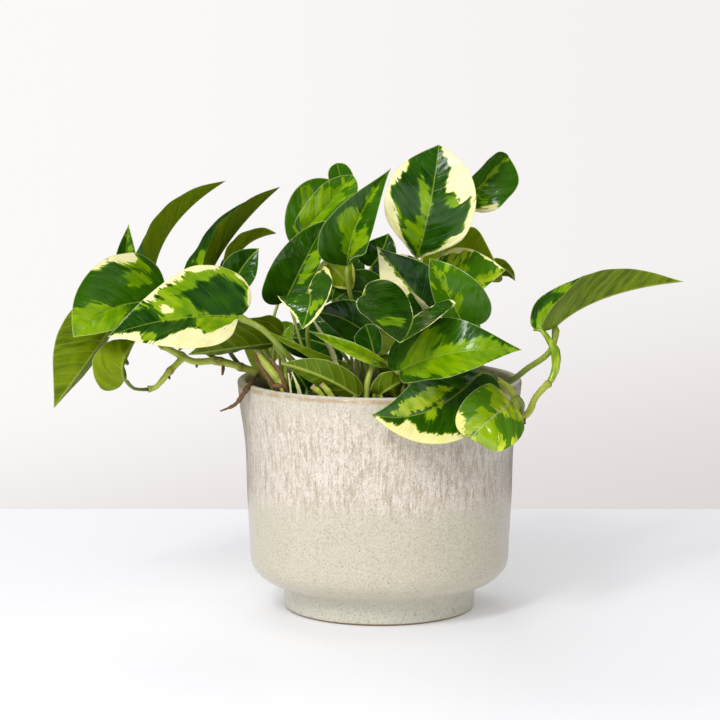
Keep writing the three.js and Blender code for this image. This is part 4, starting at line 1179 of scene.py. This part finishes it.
# The middle sheet of a blade: its points, their flat place in millimetres, and where the face looks.
def bladeSheet(leaf, rng):
    rib = Midrib(leaf)
    rows, columns = leafShape["rows"], leafShape["columns"]
    # the rows stand closer at the base and the tip
    even = np.linspace(0, 1, rows + 1)
    share = even + leafShape["rowCrowding"] * (0.5 - 0.5 * np.cos(math.pi * even) - even)
    across = (np.arange(columns + 1) / columns) ** leafShape["crowding"]
    phases = rng.uniform(0, tau, 4)
    swells = rng.uniform(0, tau, 4)
    halves = []
    for side, sign in ((0, 1), (1, -1)):
        half, fold, curl, lobe, wide, full = [
            leaf[key][side] for key in ("half", "fold", "curl", "lobe", "wide", "full")]
        edge = marginCurve(share, lobe, wide, full)
        foot = share ** 3
        x = foot[:, None] + (edge[:, :1] - foot[:, None]) * across
        y = edge[:, 1:] * across
        spot, slope, face = rib.at(x)
        sideways = np.cross(face, slope) * sign
        flattest = leafShape["flattestCurl"]
        turn, bend = math.radians(fold), math.radians(curl if abs(curl) > flattest else flattest)
        lateral = half / bend * (np.sin(turn + bend * y) - math.sin(turn))
        lift = half / bend * (math.cos(turn) - np.cos(turn + bend * y))
        lift = lift + np.sin(tau * (leafShape["waves"] * x + leafShape["waveShift"] * sign)) * y ** 2
        # small ripples of the margin, and the quilting between the lateral veins
        q = y * half
        slow, quick = leafShape["rippleTurns"]
        ripple = np.sin(tau * slow * x + phases[side]) + 0.6 * np.sin(tau * quick * x + phases[side + 2])
        lift = lift + leafShape["ripple"] * ripple * y ** 3
        veinFoot = x * rib.length - leafShape["veinSlant"] * q - leafShape["veinSweep"] * q * q / half
        ridge = np.abs(np.sin(math.pi * veinFoot / leafShape["veinGap"]))
        rim = np.clip((1 - across) * edge[:, 1:] * half / 4, 0, 1) * np.clip(q / 3, 0, 1)
        lift = lift + leaf["quilt"] * (ridge ** 0.7 - 0.5) * rim
        # uneven hollows and swellings, as on a leaf that grew crowded
        hollow = np.sin(x * rib.length / 4.1 + swells[side]) * np.sin(q / 3.3 + swells[side + 2])
        hollow = hollow + 0.7 * np.sin(x * rib.length / 2.3 - q / 3.9 + swells[side + 1])
        lift = lift + leaf["pucker"] * hollow * rim
        turned = turn + bend * y
        normal = face * np.cos(turned)[..., None] - sideways * np.sin(turned)[..., None]
        surface = spot + sideways * lateral[..., None] + face * lift[..., None]
        halves.append((surface, normal, x * rib.length, q * sign, veinFoot, q))
    left, right = halves
    both = [np.concatenate([a[:, :0:-1], b], axis=1) for a, b in zip(left, right)]
    return rib, both


# The blade's points and faces: an upper and an under skin that share the margin, the base and the tip.
# places holds the row and column of each point, and kinds the material of each face.
def bladeSkins(sheet, upper, lower):
    rows, last = sheet.shape[0] - 1, sheet.shape[1] - 1
    points, places, index = [], [], {}

    def keep(kind, i, j, point):
        index[kind, i, j] = len(points)
        points.append(point)
        places.append((i, j))

    keep("u", 0, 0, sheet[0, last // 2])
    for i in range(1, rows):
        for j in range(last + 1):
            keep("u", i, j, sheet[i, j] if j in (0, last) else upper[i, j])
        for j in range(1, last):
            keep("l", i, j, lower[i, j])
        index["l", i, 0], index["l", i, last] = index["u", i, 0], index["u", i, last]
    keep("u", rows, 0, sheet[rows, last // 2])
    base, tip = index["u", 0, 0], index["u", rows, 0]
    faces, kinds = [], []
    for kind, number in (("u", 0), ("l", 1)):
        skin = []
        for i in range(1, rows - 1):
            for j in range(last):
                skin.append((index[kind, i, j], index[kind, i, j + 1],
                             index[kind, i + 1, j + 1], index[kind, i + 1, j]))
        for j in range(last):
            skin.append((base, index[kind, 1, j + 1], index[kind, 1, j]))
            skin.append((tip, index[kind, rows - 1, j], index[kind, rows - 1, j + 1]))
        faces += skin if kind == "u" else [face[::-1] for face in skin]
        kinds += [number] * len(skin)
    return points, np.array(places), faces, kinds


# How deep each point lies inside the leaf's lime and cream patches, in millimetres; outside is below 0.
def patchFields(leaf, flat, depth, length, seed):
    reach = leafShape["patchReach"]
    fields = []
    for kind in ("lime", "cream"):
        field = np.full(len(flat), -float(reach))
        for patch in leaf[kind]:
            spots = np.array(patch, float)
            halves = np.where(spots[:, 1] >= 0, *leaf["half"])
            outline = spots * np.stack([np.full(len(spots), length), halves], 1)
            field = np.maximum(field, insideOutline(flat, outline))
        fields.append(np.clip(field, -reach, reach))
    # a cream rim widens and narrows along the leaf, and runs out at the tip
    x, y = flat.T
    uneven = 0.7 + 0.45 * np.sin(x * 0.33 + seed) + 0.25 * np.sin(x * 0.8 - y * 0.2)
    rimWidth = np.where(y >= 0, *leaf["creamRim"]) * uneven * np.clip(3 - 3 * x / length, 0.35, 1)
    rim = (rimWidth - depth) * leafShape["rimSharpness"]
    fields[1] = np.maximum(fields[1], np.where(rimWidth > 0, rim, -reach))
    return np.stack(fields + [np.zeros(len(flat))], 1)


# The stalk's points, its faces, and how far down it each point is. It is a little thicker where it meets
# the blade and the stem.
def leafStalk(leaf, rib):
    points = [np.array(point, float) for point in leaf["stalk"]]
    points.insert(0, rib.line[0] + rib.slope[0] * stalkShape["begins"])
    if "joins" in leaf:
        vine = vineLines[leaf["joins"]]
        points[-1] = vine[np.argmin(np.linalg.norm(vine - points[-1], axis=1))]
    path = smoothPath(points, stalkShape["step"])
    run = pathLengths(path)
    slim = min(leaf["half"]) < stalkShape["smallHalf"]
    radius = leaf.get("stalkRadius", stalkShape["slim"] if slim else stalkShape["radius"])
    head = np.exp(-((run - stalkShape["swellPlace"]) / stalkShape["swellWidth"]) ** 2)
    foot = stalkShape["footSwell"] * np.exp(-((run[-1] - run) / stalkShape["footWidth"]) ** 2)
    radii = radius * np.clip(run / stalkShape["neckLength"], stalkShape["neck"], 1)
    radii = radii * (1 + stalkShape["swell"] * (head + foot))
    spots, faces = tube(path, radii, stalkShape["sides"])
    return spots, faces, run[ringNumbers(len(path), stalkShape["sides"])]


def buildLeaf(name, leaf):
    seed = leafShape["firstSeed"] + leafShape["seedStep"] * list(leaves).index(name)
    leaf = {**leafHabit, **leaf}
    rib, (sheet, normal, flatX, flatY, veinFoot, reach) = bladeSheet(leaf, np.random.default_rng(seed))
    rows, last = sheet.shape[0] - 1, sheet.shape[1] - 1
    along, half = flatX / rib.length, leafShape["thickness"] / 2
    groove = leafShape["groove"] * np.exp(-(reach / leafShape["grooveWidth"]) ** 2)
    groove = groove * np.clip(1.1 - along, 0, 1)
    ridge = leafShape["rib"] * np.exp(-(reach / leafShape["ribWidth"]) ** 2)
    ridge = ridge * np.clip(1.05 - along, 0, 1)
    upper = sheet + normal * (half - groove)[..., None]
    lower = sheet - normal * (half + ridge)[..., None]
    points, places, faces, kinds = bladeSkins(sheet, upper, lower)
    onRow, onColumn = places.T
    ends = (onRow == 0) | (onRow == rows)
    creases = ends | (onColumn == 0) | (onColumn == last)
    pick = (onRow, np.where(ends, last // 2, onColumn))
    flat = np.stack([flatX[pick], flatY[pick]], 1)
    margin = [np.stack([flatX[:, 0], flatY[:, 0]], 1), np.stack([flatX[::-1, -1], flatY[::-1, -1]], 1)]
    depth = np.abs(insideOutline(flat, np.vstack(margin)))
    stalk, stalkFaces, alongStalk = leafStalk(leaf, rib)
    faces += [tuple(len(points) + v for v in face) for face in stalkFaces]
    kinds += [2] * len(stalkFaces)
    bladeCount, stalkCount = len(flat), len(stalk)
    shift = float(seed % 89)
    blade = {
        "patchField": patchFields(leaf, flat, depth, rib.length, seed),
        "leafPlace": np.stack([flat[:, 0], flat[:, 1], depth], 1),
        "veinPlace": np.stack([veinFoot[pick], reach[pick], np.full(bladeCount, shift)], 1),
        "leafTone": np.tile([leaf["tone"], leaf["blotch"], leaf["under"]], (bladeCount, 1)),
        "leafGlow": np.tile([leaf["warm"], leaf["gloss"], 0], (bladeCount, 1)),
    }
    # a stalk holds how far down it the point is, and its whole length, in place of a place on the blade
    stem = {
        "patchField": np.zeros((stalkCount, 3)),
        "leafPlace": np.stack([alongStalk, np.full(stalkCount, alongStalk.max()), np.zeros(stalkCount)], 1),
        "veinPlace": np.stack([alongStalk, np.zeros(stalkCount), np.full(stalkCount, shift)], 1),
        "leafTone": np.tile([leaf["tone"], 0, 0.5], (stalkCount, 1)),
        "leafGlow": np.zeros((stalkCount, 3)),
    }
    attributes = {key: np.vstack([blade[key], stem[key]]) for key in blade}
    creases = np.append(creases, np.zeros(stalkCount, bool))
    spots = np.vstack([np.array(points), stalk]) * mm
    piece = newPiece(f"fine_{name}", spots, faces, leafMaterials, kinds, attributes, creases)
    hold(piece, leaf["slot"], f"leaf_{name}")


leafPaint = {
    "dark": (30, 78, 2), "deep": (10, 48, 1), "mid": (62, 112, 2), "lime": (92, 138, 0),
    "bright": (138, 172, 4), "cream": (248, 242, 190), "yellow": (240, 234, 120), "gold": (196, 208, 52),
    "fringe": (80, 128, 14), "rib": (140, 168, 50), "under": (80, 102, 2), "underLime": (134, 158, 8),
    "underRib": (150, 166, 66), "margin": (190, 204, 130),
}
# foot is the painted shade at the lower end of a stalk
stalkPaint = {"tones": ((92, 112, 12), (176, 194, 76)), "foot": (58, 74, 18)}
stemPaint = {
    "tones": ((150, 172, 26), (206, 214, 100)), "scar": (150, 132, 84), "knot": (110, 84, 48),
    "cutEnd": (168, 150, 104),
}
# how much each value of a point counts in the edges, shares and relief of the leaf's pattern
leafMixes = {
    "limeTear": {"streak": 3.6, "fine": 1.6, "step": 2.6},
    "creamTear": {"streak": 3.4, "fine": 1.6, "step": 1.9},
    "blotch": {"broad": 16, "streak": 14.4, "fine": 4.8, "blotch": 24},
    "mottle": {"streak": 0.7, "fine": 0.22, "broad": 1},
    "ground": {"ground": 1, "fine": 0.1, "streak": 0.3, "broad": 0.3, "step": 0.16},
    "lime": {"fine": 0.3, "streak": 0.8, "broad": 0.9, "step": 0.24, "warm": 0.5},
    "yellow": {"fine": 1.4, "streak": 1},
    "under": {"under": 1, "streak": 0.9, "broad": 0.4},
    "relief": {"fine": 0.08, "streak": 0.5},
}
rootTones = ((50, 34, 18), (142, 106, 64))
newLeafTones = ((112, 150, 14), (176, 200, 52))


# What the leaf shaders read: the point's place on the leaf and along its veins, how deep it lies in the
# leaf's patches, the leaf's own tones, and noise that runs along the veins.
def leafFields(board):
    here = {}
    here["x"], here["y"], here["depth"] = board.apart(board.attribute("leafPlace", 1))
    here["foot"], here["reach"], here["seed"] = board.apart(board.attribute("veinPlace", 1))
    here["lime"], here["cream"] = board.apart(board.attribute("patchField", 1))[:2]
    here["ground"], here["blotch"], here["under"] = board.apart(board.attribute("leafTone", 1))
    here["warm"], here["gloss"] = board.apart(board.attribute("leafGlow", 1))[:2]
    x, y, foot, seed = here["x"], here["y"], here["foot"], here["seed"]
    # streaks run out along the veins, so the pattern's edges are torn that way
    here["streak"] = board.noise(board.joined(foot * 0.19, y * 0.085, seed), 2, 0.5) - 0.5
    here["fine"] = board.noise(board.joined(foot * 0.95, y * 0.28, seed), 2, 0.6) - 0.5
    here["step"] = board.cellShade(board.joined(foot * 0.42, y * 0.17, seed))
    here["broad"] = board.noise(board.joined(x * 0.055, y * 0.075, seed), 2, 0.5) - 0.5
    veinTurn = foot / leafShape["veinGap"] * math.pi
    here["ridge"] = board.node("ShaderNodeMath", {"operation": "SINE"}, [veinTurn]).size()
    return here


def mixture(here, name):
    return sum(here[key] * weight for key, weight in leafMixes[name].items())


def upperMaterial():
    material, board = newMaterial("leafUpper")
    here = leafFields(board)
    colour = {key: paint(*value) for key, value in leafPaint.items()}
    # blotches come from the noise alone, the other patches from their outlines
    limeField = (here["lime"] + mixture(here, "limeTear")).most(mixture(here, "blotch") - 12)
    creamField = here["cream"] + mixture(here, "creamTear")
    mottle = board.rise(mixture(here, "mottle"), -0.3, 0.34)
    deep = board.mix(mottle, colour["deep"], colour["dark"])
    ground = board.mix(mixture(here, "ground"), deep, colour["mid"])
    ground = board.mix(board.rise(here["warm"], 0.5, 1.0) * 0.4, ground, colour["lime"])
    fringe = board.rise(limeField, -1.6, 0.1)
    tone = board.mix(fringe * 0.55, ground, colour["fringe"])
    limeTone = board.mix(board.rise(mixture(here, "lime"), -0.3, 0.4), colour["lime"], colour["bright"])
    goldShare = here["warm"] * board.rise(here["broad"] + here["streak"], -0.05, 0.15)
    limeTone = board.mix(goldShare, limeTone, colour["gold"])
    tone = board.mix(board.rise(limeField, -0.15, 0.35), tone, limeTone)
    tone = board.mix(board.rise(creamField, -1.1, -0.1) * 0.6, tone, colour["bright"])
    yellowShare = board.rise(mixture(here, "yellow"), -0.1, 0.5) + here["warm"] * 0.7
    creamTone = board.mix(yellowShare, colour["cream"], colour["yellow"])
    creamMask = board.rise(creamField, -0.1, 0.3)
    tone = board.mix(creamMask, tone, creamTone)
    # the midrib is palest on the warm leaves, and narrows towards the tip
    rib = board.rise(here["reach"] / (1.0 - 0.008 * here["x"]), 0.85, 0.25)
    ribTone = board.mix(board.rise(here["warm"], 0.5, 1.0), colour["rib"], colour["margin"])
    tone = board.mix(rib * 0.62, tone, ribTone)
    veins = board.rise(here["ridge"], 0.16, 0.02) * board.rise(here["depth"], 1.0, 5.0)
    tone = board.mix(veins * 0.09, tone, colour["rib"])
    edge = board.rise(here["depth"], 0.42, 0.14)
    tone = board.mix(edge * 0.62, tone, colour["margin"])
    roughness = 0.24 + 0.1 * here["broad"] + 0.05 * here["fine"] + 0.12 * creamMask - 0.1 * here["gloss"]
    # between the veins the blade swells in small uneven cushions
    cushion = board.noise(board.joined(here["foot"] * 0.3, here["y"] * 0.24, here["seed"]), 2, 0.4)
    relief = mixture(here, "relief") + 0.6 * board.rise(here["ridge"], 0.0, 0.3) + 2.4 * cushion
    board.finish(tone, roughness, board.bump(relief, 0.45, 0.0005), Specular_IOR_Level=0.3,
                 Coat_Weight=0.16 + 0.6 * here["gloss"], Coat_Roughness=0.1)
    return material


def underMaterial():
    material, board = newMaterial("leafUnder")
    here = leafFields(board)
    colour = {key: paint(*value) for key, value in leafPaint.items()}
    tone = board.mix(mixture(here, "under"), colour["under"], colour["underLime"])
    shade = board.rise(here["lime"].most((here["blotch"] - 0.5) * 20) + 8 * here["streak"], -1.5, 1.5)
    tone = board.mix(shade * 0.45, tone, colour["underLime"])
    creamMask = board.rise(here["cream"] + 6 * here["streak"], -0.8, 0.8)
    tone = board.mix(creamMask * 0.8, tone, colour["yellow"])
    veins = board.rise(here["ridge"], 0.26, 0.04)
    tone = board.mix(veins * 0.34, tone, colour["underRib"])
    rib = board.rise(here["reach"], 1.1, 0.4)
    tone = board.mix(rib * 0.8, tone, colour["underRib"])
    edge = board.rise(here["depth"], 0.5, 0.15)
    tone = board.mix(edge * 0.5, tone, colour["margin"])
    relief = 0.9 * board.rise(here["ridge"], 0.3, 0.0) + 0.4 * here["fine"]
    board.finish(tone, 0.46 + 0.15 * here["fine"], board.bump(relief, 0.35, 0.0004),
                 Specular_IOR_Level=0.12)
    return material


def stalkMaterial():
    material, board = newMaterial("leafStalk")
    here = leafFields(board)
    streaks = board.grain((900, 900, 60), 2)
    tone = board.between(streaks * 0.6 + here["ground"] * 0.6, stalkPaint["tones"])
    # here x is the way down the stalk and y its whole length; towards its lower end the stalk is painted
    # darker, a painted shade
    low = board.rise(here["y"] - here["x"], 34, 4)
    tone = board.coat(low * 0.85, tone, stalkPaint["foot"])
    board.finish(tone, 0.42, board.bump(streaks, 0.2, 0.0003), Coat_Weight=0.1)
    return material


def stemMaterial():
    material, board = newMaterial("vineStem")
    knot = board.attribute("knotShare")
    cap = board.attribute("capShare")
    streaks = board.grain((620, 620, 620), 3)
    tone = board.between(streaks, stemPaint["tones"])
    scar = board.rise(board.grain((900, 900, 900), 2), 0.5, 0.68)
    tone = board.coat(scar * 0.18, tone, stemPaint["scar"])
    tone = board.coat(knot * 0.75 * board.rise(streaks, 0.3, 0.6), tone, stemPaint["knot"])
    tone = board.coat(cap, tone, stemPaint["cutEnd"])
    board.finish(tone, 0.48 + 0.15 * knot, board.bump(streaks + knot, 0.4, 0.0004), Coat_Weight=0.08)
    return material


def rootMaterial():
    material, board = newMaterial("dryRoot")
    bark = board.grain((700, 700, 700), 4)
    board.finish(board.between(bark, rootTones), 0.8, board.bump(bark, 0.7, 0.0005))
    return material


def newLeafMaterial():
    material, board = newMaterial("newLeaf")
    streaks = board.grain((420, 420, 90), 2)
    tone = board.between(board.rise(streaks, 0.3, 0.7), newLeafTones)
    board.finish(tone, 0.3, board.bump(streaks, 0.3, 0.0004), Coat_Weight=0.5, Coat_Roughness=0.12)
    return material


leafMaterials = [upperMaterial(), underMaterial(), stalkMaterial()]
stemSkin = stemMaterial()
rootSkin = rootMaterial()
newLeafSkin = newLeafMaterial()


# the stems that the outer leaves grow from, a cut stem, the new leaf and the hanging root
vines = {
    "left_vine": {
        "radii": (2.3, 1.7), "slot": "green_stem",
        "path": [(-51, -7, 100), (-62, -8, 131), (-69, -9, 135), (-77, -10, 138), (-83, -11, 140),
                 (-91, -12, 142), (-104, -14, 142), (-112, -15, 146), (-122, -16, 152), (-130, -10, 159),
                 (-134, -4, 163)],
        "knots": [(-69, -9, 135), (-91, -12, 142), (-110, -15, 145)],
    },
    "side_vine": {
        "radii": (1.9, 1.5), "slot": "green_stem",
        "path": [(-109, -15, 145), (-114, -16, 140), (-117, -17, 137), (-122, -18, 131), (-125, -18, 128),
                 (-129, -19, 127)],
        "knots": [(-117, -17, 137)],
    },
    "cut_stem": {
        "radii": (2.3, 2.2), "slot": "dry_stem", "cap": True,
        "path": [(-49, -43, 100), (-53, -41, 131), (-56, -38, 135), (-62, -34, 142), (-68, -30, 148)],
        "knots": [(-56, -38, 135)],
    },
    "right_vine": {
        "radii": (2.3, 1.8), "slot": "green_stem",
        "path": [(38, -12, 100), (50, -22, 138), (54, -28, 136), (65, -40, 134), (71, -48, 131),
                 (76, -51, 120), (78, -49, 116), (82, -45, 119), (85, -41, 125), (90, -36, 130),
                 (93, -32, 132)],
        "knots": [(54, -28, 136), (65, -40, 134), (93, -32, 132)],
    },
    "new_leaf": {
        "radii": (1.6, 2.4, 2.6, 1.6, 0.6), "slot": "green_stem",
        "path": [(94, -32, 133), (97, -30, 140), (97, -28, 149), (94, -27, 155), (89, -26, 161),
                 (85, -25, 161)],
        "knots": [],
    },
    "aerial_root": {
        "radii": (1.0, 0.85, 0.95, 1.5, 1.1, 0.4), "slot": "root",
        "uneven": ((0.14, 1.1, 0), (0.12, 0.53, 0)),
        "path": [(-68, -9, 134), (-69, -22, 134), (-71, -31, 133), (-74, -37, 129), (-76, -39, 126),
                 (-80, -37, 121), (-88, -34, 117)],
        "knots": [],
    },
}
# an unevenness is a share of the radius, a wave length in millimetres over a turn, and a shift
vineShape = {
    "step": 1.1, "sides": 14, "swell": 0.38, "knotWidth": 1.9, "uneven": ((0.05, 2.3, 1), (0.03, 0.9, 0)),
}
vineLines = {name: smoothPath(vine["path"], vineShape["step"]) for name, vine in vines.items()}


def buildVine(name, vine):
    path = vineLines[name]
    run = pathLengths(path)
    knotSpots = vine["knots"] + [leaf["stalk"][-1] for leaf in leaves.values() if leaf.get("joins") == name]
    knot = np.zeros(len(path))
    for spot in knotSpots:
        nearest = run[np.argmin(np.linalg.norm(path - np.array(spot, float), axis=1))]
        knot = np.maximum(knot, np.exp(-((run - nearest) / vineShape["knotWidth"]) ** 2))
    waves = vine.get("uneven", vineShape["uneven"])
    uneven = sum(size * np.sin(run / wave + shift) for size, wave, shift in waves)
    radii = spread(vine["radii"], run) * (1 + vineShape["swell"] * knot + uneven)
    points, faces = tube(path, radii, vineShape["sides"])
    rings = ringNumbers(len(path), vineShape["sides"])
    cap = np.clip((run - run[-1] + 2.2) / 0.6, 0, 1) if vine.get("cap") else np.zeros(len(path))
    attributes = {"knotShare": knot[rings], "capShare": cap[rings]}
    skin = {"aerial_root": rootSkin, "new_leaf": newLeafSkin}.get(name, stemSkin)
    piece = newPiece(f"fine_{name}", points * mm, faces, [skin], None, attributes)
    hold(piece, vine["slot"], name)


# what lies at the foot of the stems: dry sheaths, cut stubs and withered roots
litter = {
    "paleSheaths": {
        "slot": "dry_stem", "flat": 0.3,
        "strands": [
            {"path": [(-48, -53, 111), (-48.7, -54, 131), (-50, -54, 141)], "radii": (1.2, 1.2, 0.7)},
            {"path": [(-42, -54, 111), (-44, -56, 131), (-48, -56, 142)], "radii": (2.8, 2.4, 0.6)},
            {"path": [(-20, -40, 111), (-22, -40, 132), (-26, -40, 150), (-37, -39, 169)],
             "radii": (2.4, 2.6, 3.2, 1.2)},
            {"path": [(27, -30, 171), (24, -36, 176), (17, -40, 184)], "radii": (3.2, 2.8, 0.5)},
        ],
    },
    "cutStubs": {
        "slot": "green_stem", "flat": 0.85,
        "strands": [
            {"path": [(-27, -56, 111), (-32, -61, 130), (-37, -62, 135)], "radii": (2.1, 2.0, 1.8)},
            {"path": [(-20, -57, 111), (-27, -60, 130), (-32, -60, 136)], "radii": (2.3, 2.1, 1.9)},
            {"path": [(64, -38, 134.6), (68, -37.5, 133.6), (71.5, -37, 132.8)], "radii": (1.5, 1.3, 1.2)},
        ],
    },
    "rootStubs": {
        "slot": "root", "flat": 0.8,
        "strands": [
            {"path": [(-52, -40, 111), (-56, -42, 128), (-61, -45, 137), (-66, -44, 144), (-68.5, -37, 148)],
             "radii": (1.8, 1.5, 1.6, 1.2, 1.6)},
            {"path": [(-46, -48, 111), (-51, -50, 130), (-54, -51, 140), (-60, -50, 149)],
             "radii": (1.5, 1.8, 1.7, 0.8)},
            {"path": [(-52, -55, 133), (-55, -56, 134.5), (-59, -55, 134)], "radii": (0.6, 1.7, 0.9)},
            {"path": [(-87.4, -11.5, 141), (-87.6, -12.2, 137), (-88, -12.6, 134)],
             "radii": (1.2, 1.2, 0.7)},
            {"path": [(-102, -14, 141), (-102.3, -14.6, 138.6)], "radii": (1.1, 0.7)},
            {"path": [(-118, -17.2, 135.4), (-117, -18.4, 132.6)], "radii": (1.1, 0.7)},
            {"path": [(78.4, -50, 117), (79, -51, 112.4)], "radii": (1.2, 0.9)},
        ],
    },
}
litterShape = {"step": 0.9, "sides": 12, "rough": 0.12}
sheathTones = ((170, 172, 96), (240, 232, 184))


def sheathMaterial():
    material, board = newMaterial("drySheath")
    fibres = board.grain((900, 900, 70), 3)
    board.finish(board.between(fibres, sheathTones), 0.55, board.bump(fibres, 0.4, 0.0004))
    return material


def buildLitter(name, heap, skin):
    points, faces, caps = [], [], []
    for number, strand in enumerate(heap["strands"]):
        path = smoothPath(strand["path"], litterShape["step"])
        run = pathLengths(path)
        rough = litterShape["rough"] * np.sin(run / 0.8 + number) * np.sin(run / 2.1)
        radii = spread(strand["radii"], run) * (1 + rough)
        spots, sides = tube(path, radii, litterShape["sides"], flat=heap["flat"])
        start = sum(len(spots) for spots in points)
        points.append(spots)
        faces += [tuple(start + v for v in face) for face in sides]
        cap = np.clip((run - run[-1] + 1.4) / 0.5, 0, 1)
        caps.append(cap[ringNumbers(len(path), litterShape["sides"])])
    caps = np.concatenate(caps)
    attributes = {"knotShare": np.zeros(len(caps)), "capShare": caps}
    piece = newPiece(name, np.vstack(points) * mm, faces, [skin], None, attributes)
    hold(piece, heap["slot"])


for name, skin in (("paleSheaths", sheathMaterial()), ("cutStubs", stemSkin), ("rootStubs", rootSkin)):
    buildLitter(name, litter[name], skin)
print("sheaths, stubs and roots lie round the stems")


for name, vine in vines.items():
    buildVine(name, vine)
print("vines are grown")
for name, leaf in leaves.items():
    buildLeaf(name, leaf)
print(len(leaves), "leaves are grown")
